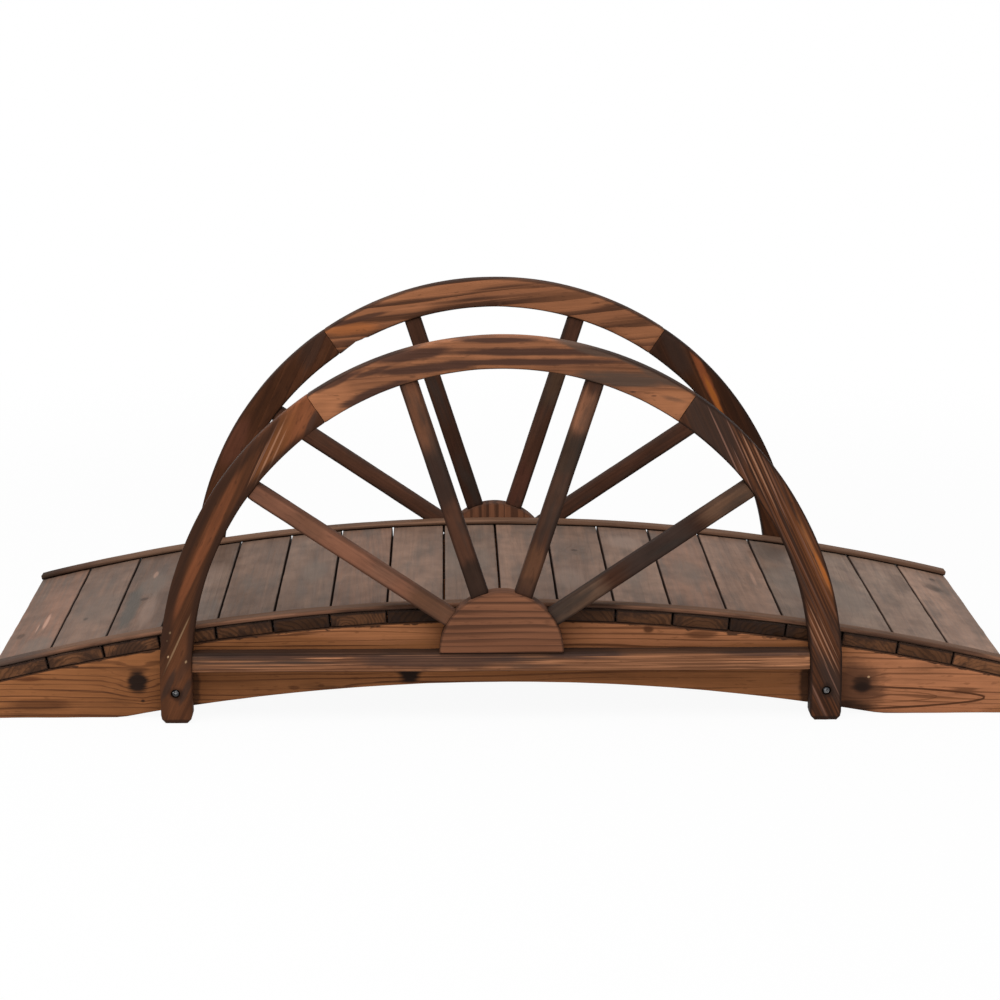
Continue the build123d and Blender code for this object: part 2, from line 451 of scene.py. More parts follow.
def board_edge(open_side):
    """A thin dark line along each board but its open side, and a dark outline round its sawn ends: burnt arrises,
    with painted shade in the gaps between boards, under the strip and above the beam.
    """
    def burnt(place, local):
        _, y, z = local.axes()
        near = y * -open_side if open_side else abs(y)
        # The side lines and the outline are partly burnt arrises and partly painted shade: in the gaps, under the
        # strip along the top of a sawn end, and above the beam along its foot.
        side = near.step(PLANK_WIDTH / 2 - 0.0022, PLANK_WIDTH / 2)
        above = z.step(PLANK_DEPTH / 2 - 0.0042, PLANK_DEPTH / 2 - 0.0012)
        below = (z * -1.0).step(PLANK_DEPTH / 2 - 0.0035, PLANK_DEPTH / 2)
        outline = abs(y).step(PLANK_WIDTH / 2 - 0.004, PLANK_WIDTH / 2).math("MAXIMUM", above)
        return side.math("MAXIMUM", outline.math("MAXIMUM", below) * board_end(local))
    return burnt


def board_end(local):
    return abs(local.axes()[0]).step(DECK_EDGE - 0.0022, DECK_EDGE - 0.0012)


# Modelling
def select_none():
    bpy.ops.object.select_all(action="DESELECT")


def pick_edges(piece, test):
    """Selects the edges of a piece whose two ends pass a test."""
    mesh = piece.data
    bpy.context.tool_settings.mesh_select_mode = (False, True, False)
    for group in (mesh.vertices, mesh.edges, mesh.polygons):
        group.foreach_set("select", [False] * len(group))
    for edge in mesh.edges:
        first, second = (mesh.vertices[index].co for index in edge.vertices)
        edge.select = test(first, second)


def edit(*actions):
    """Runs edit-mode operators, each given as an operator and its settings."""
    bpy.ops.object.mode_set(mode="EDIT")
    for operator, settings in actions:
        operator(**settings)
    bpy.ops.object.mode_set(mode="OBJECT")


def named(name):
    piece = bpy.context.active_object
    piece.name = name
    piece.data.name = name
    return piece


def soften(piece, test, radius, steps):
    """Rounds the edges of a piece whose two ends pass a test."""
    pick_edges(piece, test)
    edit((bpy.ops.mesh.bevel, {"offset": radius, "segments": steps, "affect": "EDGES"}))


def bar(name, size, round_over, end_round, cuts):
    """A straight bar with rounded edges: x along, y across, z through its depth."""
    select_none()
    bpy.ops.mesh.primitive_cube_add(size=1.0)
    piece = named(name)
    edit((bpy.ops.transform.resize, {"value": size}))
    half = size[0] / 2
    soften(piece, lambda a, b: abs(a.x - b.x) > half, round_over, 3)
    soften(piece, lambda a, b: abs(a.x - b.x) < end_round and abs(a.x) > half - end_round, end_round, 2)
    for axis in range(3):
        if cuts[axis]:
            pick_edges(piece, lambda a, b: abs(a[axis] - b[axis]) > size[axis] / 2)
            edit((bpy.ops.mesh.subdivide, {"number_cuts": cuts[axis]}))
    return piece


def weather(piece, swell, wear, seed):
    """Uneven faces and worn edges, drawn out along the bar. Nothing stands proud of the sawn size."""
    moved = []
    for vertex in piece.data.vertices:
        x, y, z = vertex.co
        normal = vertex.normal
        ripple = noise.noise(Vector((x * RIPPLE[0] + seed, y * RIPPLE[1], z * RIPPLE[1])))
        worn = noise.noise(Vector((x * WORN[0] - seed, y * WORN[1] + 3.0, z * WORN[1])))
        corner = 2.0 * abs(normal.y * normal.z) + 2.0 * abs(normal.x) * (abs(normal.y) + abs(normal.z))
        depth = swell * (0.5 + 0.5 * ripple) + wear * min(1.0, corner) * max(0.0, worn + 0.15)
        moved.append(vertex.co - normal * depth)
    for vertex, spot in zip(piece.data.vertices, moved):
        vertex.co = spot


def settle(piece, put=None):
    """Moves each point from a straight bar to its place, if it has another, and turns all faces outward."""
    if put:
        for vertex in piece.data.vertices:
            vertex.co = put(*vertex.co)
    bpy.context.tool_settings.mesh_select_mode = (True, False, False)
    edit((bpy.ops.mesh.select_all, {"action": "SELECT"}),
         (bpy.ops.mesh.normals_make_consistent, {"inside": False}))
    bpy.ops.object.shade_smooth_by_angle(angle=SMOOTH_ANGLE)


def cut_away(piece, cutter):
    """Cuts the shape of another object out of a piece, and deletes that object."""
    cut = piece.modifiers.new("cut", "BOOLEAN")
    cut.operation = "DIFFERENCE"
    cut.solver = "EXACT"
    cut.object = cutter
    bpy.context.view_layer.objects.active = piece
    bpy.ops.object.modifier_apply(modifier=cut.name)
    mesh = cutter.data
    bpy.data.objects.remove(cutter)
    bpy.data.meshes.remove(mesh)


def rod(name, radius, low, high, across, sides=32, turn=0.0):
    """A round or many-sided rod along Y, from y = low to y = high, at across = (x, z)."""
    select_none()
    bpy.ops.mesh.primitive_cylinder_add(vertices=sides, radius=radius, depth=abs(high - low))
    piece = named(name)
    piece.rotation_euler = (math.radians(90.0), turn, 0.0)
    piece.location = (across[0], (low + high) / 2, across[1])
    bpy.ops.object.transform_apply(location=True, rotation=True, scale=True)
    return piece


def keep(piece, material, node=None):
    piece.data.materials.clear()
    piece.data.materials.append(material)
    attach(piece, "root")
    if node:
        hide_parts(node)


def colour_prop(name, description, default):
    return bpy.props.FloatVectorProperty(name=name, description=description, default=default,
                                         subtype="COLOR", size=3, min=0.0, max=1.0)


def length_prop(name, description, default):
    return bpy.props.FloatProperty(name=name, description=description, default=default,
                                   min=0.0, unit="LENGTH", precision=4)


class BridgeWood(bpy.types.PropertyGroup):
    """Colours of the burnt timber"""

    deck_pale: colour_prop("Deck pale", "Early wood of the boards", (0.212, 0.129, 0.091))
    deck_deep: colour_prop("Deck deep", "Darker runs in the boards", (0.128, 0.080, 0.058))
    deck_dark: colour_prop("Deck dark", "Late wood of the boards", (0.070, 0.043, 0.031))
    end_pale: colour_prop("End pale", "Early wood on the boards' sawn ends", (0.132, 0.055, 0.024))
    end_dark: colour_prop("End dark", "Late wood on the boards' sawn ends", (0.030, 0.014, 0.008))
    beam_pale: colour_prop("Beam pale", "Early wood of the beams", (0.270, 0.106, 0.040))
    beam_deep: colour_prop("Beam deep", "Darker runs in the beams", (0.165, 0.062, 0.023))
    beam_dark: colour_prop("Beam dark", "Late wood of the beams", (0.070, 0.026, 0.012))
    strip_pale: colour_prop("Strip pale", "Early wood of the edge strips", (0.205, 0.107, 0.064))
    strip_deep: colour_prop("Strip deep", "Darker runs in the edge strips", (0.135, 0.074, 0.047))
    strip_dark: colour_prop("Strip dark", "Late wood of the edge strips", (0.082, 0.043, 0.027))
    rim_pale: colour_prop("Rim pale", "Unburnt wood of the top felloes", (0.330, 0.132, 0.060))
    rim_deep: colour_prop("Rim deep", "Darker runs in the top felloes", (0.215, 0.086, 0.042))
    rim_dark: colour_prop("Rim dark", "Burnt bands of the top felloes", (0.058, 0.026, 0.016))
    leg_pale: colour_prop("Leg pale", "Lighter wood of the side felloes", (0.175, 0.064, 0.028))
    leg_deep: colour_prop("Leg deep", "Darker runs in the side felloes", (0.092, 0.034, 0.016))
    leg_dark: colour_prop("Leg dark", "Burnt bands of the side felloes", (0.034, 0.016, 0.010))
    spoke_pale: colour_prop("Spoke pale", "Lighter wood of the spokes", (0.190, 0.080, 0.046))
    spoke_deep: colour_prop("Spoke deep", "Darker runs in the spokes", (0.105, 0.045, 0.027))
    spoke_dark: colour_prop("Spoke dark", "Late wood of the spokes", (0.046, 0.022, 0.015))
    hub_pale: colour_prop("Hub pale", "Early wood of the hubs", (0.222, 0.091, 0.047))
    hub_deep: colour_prop("Hub deep", "Darker runs in the hubs", (0.140, 0.056, 0.029))
    hub_dark: colour_prop("Hub dark", "Late wood of the hubs", (0.076, 0.033, 0.019))
    rail_pale: colour_prop("Rail pale", "Pale lines of the rails", (0.312, 0.137, 0.067))
    rail_deep: colour_prop("Rail deep", "Lighter runs in the rails", (0.170, 0.070, 0.035))
    rail_dark: colour_prop("Rail dark", "Late wood of the rails", (0.078, 0.032, 0.017))
    glow: colour_prop("Glow", "Orange wood that the torch only warmed", (0.480, 0.145, 0.032))
    ember: colour_prop("Ember", "Red-brown wood along the warmed streaks", (0.200, 0.070, 0.024))
    bare: colour_prop("Bare", "Pale wood in fresh nicks", (0.620, 0.400, 0.220))
    char: colour_prop("Char", "Wood burnt dark by the torch", (0.020, 0.011, 0.008))
    soot: colour_prop("Soot", "Grey smears of soot on the deck", (0.094, 0.075, 0.063))
    steel: colour_prop("Steel", "Blackened steel of the bolts", (0.060, 0.060, 0.064))


class BridgeShape(bpy.types.PropertyGroup):
    """Sizes of the worn edges and the bolts"""

    round_over: length_prop("Round over", "Radius of the felloes' long edges", 0.003)
    plank_round: length_prop("Board round", "Radius of the boards' long edges", 0.0014)
    beam_round: length_prop("Beam round", "Radius of the beams' long edges", 0.002)
    strip_round: length_prop("Strip round", "Radius of the strips' long edges", 0.0028)
    rail_round: length_prop("Rail round", "Radius of the rails' long edges", 0.0025)
    spoke_round: length_prop("Spoke round", "Radius of the spokes' long edges", 0.0045)
    hub_round: length_prop("Hub round", "Radius of the half discs' edges", 0.0028)
    end_round: length_prop("End round", "Radius round the sawn ends", 0.0008)
    swell: length_prop("Swell", "Unevenness of the faces", 0.0004)
    wear: length_prop("Wear", "Depth of the worn edges", 0.0016)
    bolt_height: length_prop("Bolt height", "Height of the bolts above the ground", 0.0455)
    bolt_head: length_prop("Bolt head", "Diameter of the bolt heads", 0.0105)
    bolt_socket: length_prop("Bolt socket", "Width of the hexagon in the bolt heads", 0.0056)
    counterbore: length_prop("Counterbore", "Diameter of the hole round a bolt head", 0.0140)
    sink: length_prop("Sink", "Depth of the hole round a bolt head", 0.0065)


class BridgeStage(bpy.types.PropertyGroup):
    """Floor, light and camera"""

    floor: colour_prop("Floor", "Colour of the floor", (0.62, 0.62, 0.62))
    sky: bpy.props.FloatProperty(name="Sky", description="Strength of the light from all round",
                                 default=0.62, min=0.0)
    key: bpy.props.FloatProperty(name="Key", description="Power of the soft lamp overhead",
                                 default=170.0, min=0.0, unit="POWER")


class BRIDGE_OT_deck(bpy.types.Operator):
    """Lay the deck boards"""

    bl_idname = "bridge.deck"
    bl_label = "Deck boards"

    CUTS = (58, 7, 1)
    DRAW_SEED, WEAR_STEP = 100, 11.3
    FINISH = {
        "strength": 0.1, "rough": 0.5, "sheen": 0.08, "streak": 0.22, "fibre": 0.16, "hair": 0.1,
        "fleck": 0.15, "knot": 0.6, "cloud": 0.85, "soot": "soot", "scorch": 0.65, "flame": (0.46, 0.72),
        "flame_scale": (6.0, 20.0, 20.0),
    }
    # How light each board's top and its sawn ends were left, and how warm some tops are. The lighter tops of the
    # last boards and the cooler tints of boards 14 to 16 are partly painted sheen.
    TOPS = (0.9, 0.81, 0.6, 0.74, 0.72, 0.78, 0.88, 0.92, 0.9,
            0.92, 0.92, 0.97, 0.92, 1.06, 0.88, 1.0, 1.1, 1.28)
    ENDS = (1.0, 0.95, 1.0, 0.8, 0.75, 0.32, 0.75, 0.24, 0.8,
            0.6, 0.48, 0.7, 0.58, 0.25, 0.45, 0.75, 0.58, 1.3)
    TINTS = {0: 1.3, 2: 0.2, 14: -1.0, 15: -1.2, 16: -0.8, 17: 0.0}
    # Which way the side of an end board faces that no other board meets
    OPEN_SIDES = {0: 1, len(PLANKS) - 1: -1}
    # Stains on the boards: x, y, half length, half width, shade and strength
    SINGED = ("deck_dark", 0.6)
    STAINS = {
        0: ((-0.7417, -0.1162, 0.016, 0.009, SINGED, 0.6), (-0.7077, -0.056, 0.055, 0.004, "pink", 0.75),
            (-0.7188, -0.085, 0.035, 0.0016, "pink", 0.6), (-0.7026, -0.196, 0.06, 0.03, "smear", 0.55)),
        1: ((-0.643, -0.094, 0.012, 0.005, SINGED, 0.9), (-0.62, -0.04, 0.12, 0.05, "smear", 0.35)),
        2: ((-0.5747, -0.075, 0.18, 0.017, "grime", 0.8), (-0.55, 0.06, 0.1, 0.03, "smear", 0.5),
            (-0.5435, -0.11, 0.12, 0.016, "dust", 0.35), (-0.5542, 0.127, 0.03, 0.005, "pink", 0.4)),
        3: ((-0.47, 0.05, 0.1, 0.05, "dust", 0.25),),
        5: ((-0.29, 0.0, 0.09, 0.03, "smear", 0.5),),
        8: ((-0.05, 0.02, 0.14, 0.05, "smear", 0.45),),
        9: ((0.118, 0.11, 0.07, 0.03, "gloom", 0.5),),
        10: ((0.118, 0.11, 0.07, 0.03, "gloom", 0.5), (0.11, -0.1, 0.09, 0.03, "dust", 0.4)),
        11: ((0.21, 0.165, 0.06, 0.035, "dust", 0.6), (0.205, -0.06, 0.09, 0.03, "smear", 0.5)),
        12: ((0.3, -0.02, 0.1, 0.03, "smear", 0.4),),
        13: ((0.4056, -0.01, 0.06, 0.004, "pink", 0.35),),
        14: ((0.455, 0.19, 0.08, 0.04, "gloom", 0.55), (0.46, 0.0, 0.12, 0.05, "smear", 0.4)),
        15: ((0.55, -0.05, 0.13, 0.05, "smear", 0.5),),
        16: ((0.66, 0.12, 0.08, 0.025, SINGED, 0.35),),
        17: ((0.72, 0.15, 0.03, 0.02, SINGED, 0.5),),
    }

    def execute(self, context):
        wood, shape = context.scene.bridge_wood, context.scene.bridge_shape
        size = (2 * DECK_EDGE, PLANK_WIDTH, PLANK_DEPTH)
        middle = (len(PLANKS) - 1) / 2
        for number, node in enumerate(PLANKS):
            name = f"board_{number + 1:02d}"
            draw = random.Random(self.DRAW_SEED + number)
            slope = (number - middle) * PLANK_STEP
            up = Vector((math.sin(slope), 0.0, math.cos(slope)))
            across = Vector((-math.cos(slope), 0.0, math.sin(slope)))
            centre = Vector((0, 0, ARC_CENTRE)) + up * (DECK_RADIUS - PLANK_DEPTH / 2)
            piece = bar(name, size, shape.plank_round, shape.end_round, self.CUTS)
            weather(piece, shape.swell, shape.wear, self.WEAR_STEP * number)
            settle(piece, lambda x, y, z: centre + Vector((0, x, 0)) + across * y + up * z)

            pith = (draw.uniform(-0.05, 0.05), draw.uniform(-0.07, -0.02))
            spacing = draw.uniform(0.005, 0.008)
            cut = ring_cut(pith, spacing, (0.1, 0.6), tilt=draw.uniform(-0.05, 0.05), wander=0.014)
            warm = self.TINTS.get(number, draw.uniform(-1.0, 1.0))
            tint = (1.0 + 0.08 * warm, 1.0 - 0.03 * warm, 1.0 - 0.08 * warm, 1.0)
            lift = self.TOPS[number] * draw.uniform(0.95, 1.05)
            knots = []
            for _ in range(draw.choice((0, 0, 1))):
                place = (draw.uniform(-0.24, 0.24), draw.uniform(-0.03, 0.03))
                knots.append((*place, draw.uniform(0.004, 0.009)))
            end_lift = self.ENDS[number]
            finish = wood_tone(wood, "deck", lift, **self.FINISH, end_pale=rgb(wood.end_pale, end_lift),
                               end_dark=rgb(wood.end_dark, end_lift))
            finish["pale"] = tuple(part * change for part, change in zip(finish["pale"], tint))
            stains = [((east, north, centre.z), length, width, paint(wood, shade), strength)
                      for east, north, length, width, shade, strength in self.STAINS.get(number, ())]
            edge = board_edge(self.OPEN_SIDES.get(number, 0))
            material = timber(name, StraightGrain(centre, (0, 1, 0), up), cut, finish, edge, board_end,
                              knots, marks=stains, seed=number)
            keep(piece, material, node)
        return {"FINISHED"}


class BRIDGE_OT_beams(bpy.types.Operator):
    """Cut the arched beams under the deck"""

    bl_idname = "bridge.beams"
    bl_label = "Beams"

    CUTS = (170, 9, 2)
    WEAR_SEED, GRAIN_SEED = 40.0, 200
    GRAIN_HEIGHT = 0.054
    LIFT = 1.11
    CUT = ring_cut((-0.16, -0.05), 0.0088, (0.05, 0.36), tilt=0.01, crook=0.02, wander=0.035, swell=3.0,
                   soft=0.1, drift=2.6, rag=0.35)
    FINISH = {
        "strength": 0.92, "scorch": 0.5, "flame": (0.55, 0.75), "cloud": 0.3,
        "flame_scale": (4.0, 30.0, 30.0), "ragged": 0.2, "streak": 0.7, "hair": 0.2, "clear": 0.3,
    }
    # Knots: place along the grain and across it, and size
    KNOTS = {
        "front": ((-0.5452, 0.0, 0.0105), (0.5427, -0.012, 0.009), (-0.537, -0.028, 0.003)),
        "middle": ((0.12, 0.0, 0.007),),
        "back": ((0.31, 0.02, 0.008), (-0.22, -0.012, 0.006)),
    }
    # Lighter lengths, and stains, knot shadows, painted shadows beside the legs and splinters: rows for marks_at
    WARM = {"front": ((0.66, 0.05, 0.26, 0.09, "lighter", 0.95), (0.24, 0.125, 0.28, 0.03, "lighter", 0.6),
                      (-0.18, 0.128, 0.14, 0.02, "lighter", 0.4))}
    MARKS = {"front": (
        (-0.544, 0.056, 0.019, 0.024, "char", 1.0), (-0.137, 0.063, 0.024, 0.016, "char", 1.0),
        (0.53, 0.045, 0.06, 0.048, (0.085, 0.036, 0.02), 0.85), (0.5434, 0.046, 0.02, 0.017, "char", 0.8),
        (0.525, 0.008, 0.045, 0.016, "char", 0.85), (0.5522, 0.0575, 0.0028, 0.0022, "bare", 0.6),
        (-0.69, 0.022, 0.07, 0.01, "beam_dark", 0.6), (-0.62, 0.078, 0.09, 0.0022, "beam_dark", 0.8),
        (-0.31, 0.045, 0.01, 0.004, "beam_dark", 0.6), (-0.27, 0.048, 0.006, 0.003, "beam_dark", 0.6),
        # The char rows at x = 0.4585 and x = -0.4585 are painted shadow on the beam beside each leg.
        (-0.708, 0.0605, 0.028, 0.0055, (0.1, 0.034, 0.014), 0.85), (0.4585, 0.045, 0.013, 0.06, "char", 0.8),
        (-0.4585, 0.045, 0.01, 0.06, "char", 0.65), (0.3, 0.124, 0.03, 0.007, "beam_dark", 0.7),
        (0.22, 0.133, 0.01, 0.006, "beam_dark", 0.9),
    )}
    # Loops of late wood: x and z of the tip, bow, width, reach and strength
    LOOPS = {"front": ((0.727, 0.0255, 0.0016, 0.0021, 0.26, 0.95), (0.655, 0.027, 0.001, 0.0012, 0.16, 0.5))}

    def execute(self, context):
        wood, shape = context.scene.bridge_wood, context.scene.bridge_shape
        tall = BEAM_HIGH.z - ARCH_RISE
        deep = BEAM_HIGH.y - BEAM_LOW.y
        for number, (side, facing) in enumerate((*SIDES, ("middle", 0))):
            face = facing * (BEAM_HIGH.y + BEAM_LOW.y) / 2

            def put(x, y, z):
                top = ARC_CENTRE + math.sqrt(BEAM_RADIUS ** 2 - x * x)
                bottom = max(0.0, ARCH_RISE - ARCH_RADIUS + math.sqrt(ARCH_RADIUS ** 2 - x * x))
                return Vector((x, face - z, bottom + (y / tall + 0.5) * (top - bottom)))

            name = f"{side}_beam"
            piece = bar(name, (2 * BEAM_HIGH.x, tall, deep), shape.beam_round, shape.end_round, self.CUTS)
            weather(piece, shape.swell, shape.wear, self.WEAR_SEED + number)
            settle(piece, put)
            outward = facing or 1
            grain = StraightGrain((0, face + outward * deep / 2, self.GRAIN_HEIGHT), (1, 0, 0), (0, outward, 0))
            loops = [((x, -DECK_EDGE, z), bow, width, reach, rgb(wood.beam_dark), strength)
                     for x, z, bow, width, reach, strength in self.LOOPS.get(side, ())]
            material = timber(name, grain, self.CUT, wood_tone(wood, "beam", self.LIFT, **self.FINISH), beam_edge,
                              knots=self.KNOTS[side], warm=marks_at(wood, -DECK_EDGE, self.WARM.get(side, ())),
                              marks=marks_at(wood, -DECK_EDGE, self.MARKS.get(side, ())), loops=loops,
                              seed=self.GRAIN_SEED + number)
            keep(piece, material, f"{side}_stringer")
        return {"FINISHED"}


class BRIDGE_OT_strips(bpy.types.Operator):
    """Bend the strips along the deck's edges"""

    bl_idname = "bridge.strips"
    bl_label = "Edge strips"

    CUTS = (190, 3, 0)
    WEAR_SEED, GRAIN_SEED = 60.0, 220
    SWELL_SHARE, WEAR_SHARE = 0.7, 0.8
    LIFT = {"front": 0.77, "back": 0.78}
    CUT = ring_cut((0.03, -0.05), 0.0045, (0.1, 0.6), wander=0.012)
    FINISH = {
        "flame_scale": (7.0, 30.0, 30.0), "strength": 0.4, "sheen": 0.05, "scorch": 0.4,
        "end_pale": (0.172, 0.082, 0.048, 1.0), "end_dark": "rail_dark",
    }
    # Burnt ends of the strips: place, half length, half width, colour and strength
    BURNT = {"front": (((-0.745, -0.28, 0.078), 0.1, 0.03, (0.062, 0.04, 0.031, 1.0), 0.9),),
             "back": (((-0.748, 0.275, 0.078), 0.05, 0.03, (0.022, 0.014, 0.009, 1.0), 0.85),
                      ((-0.712, 0.275, 0.086), 0.06, 0.03, (0.04, 0.017, 0.01, 1.0), 0.6))}

    def execute(self, context):
        wood, shape = context.scene.bridge_wood, context.scene.bridge_shape
        width = STRIP_HIGH.y - STRIP_LOW.y
        middle = STRIP_HIGH.z - ARC_CENTRE - STRIP_DEPTH / 2
        long = 2 * DECK_HALF_ANGLE * middle
        for number, (side, facing) in enumerate(SIDES):
            centre = facing * (STRIP_HIGH.y + STRIP_LOW.y) / 2

            def put(x, y, z):
                turn, radius = x / middle, middle + z
                return Vector((radius * math.sin(turn), centre + y, ARC_CENTRE + radius * math.cos(turn)))

            name = f"{side}_strip"
            piece = bar(name, (long, width, STRIP_DEPTH), shape.strip_round, shape.end_round, self.CUTS)
            weather(piece, shape.swell * self.SWELL_SHARE, shape.wear * self.WEAR_SHARE, self.WEAR_SEED + number)
            settle(piece, put)
            finish = wood_tone(wood, "strip", self.LIFT[side], **self.FINISH)
            material = timber(name, BentGrain(middle, centre), self.CUT, finish, strip_foot_shadow,
                              strip_face(facing, width / 2), marks=self.BURNT[side],
                              seed=self.GRAIN_SEED + number)
            keep(piece, material, f"{side}_edge_strip")
        return {"FINISHED"}


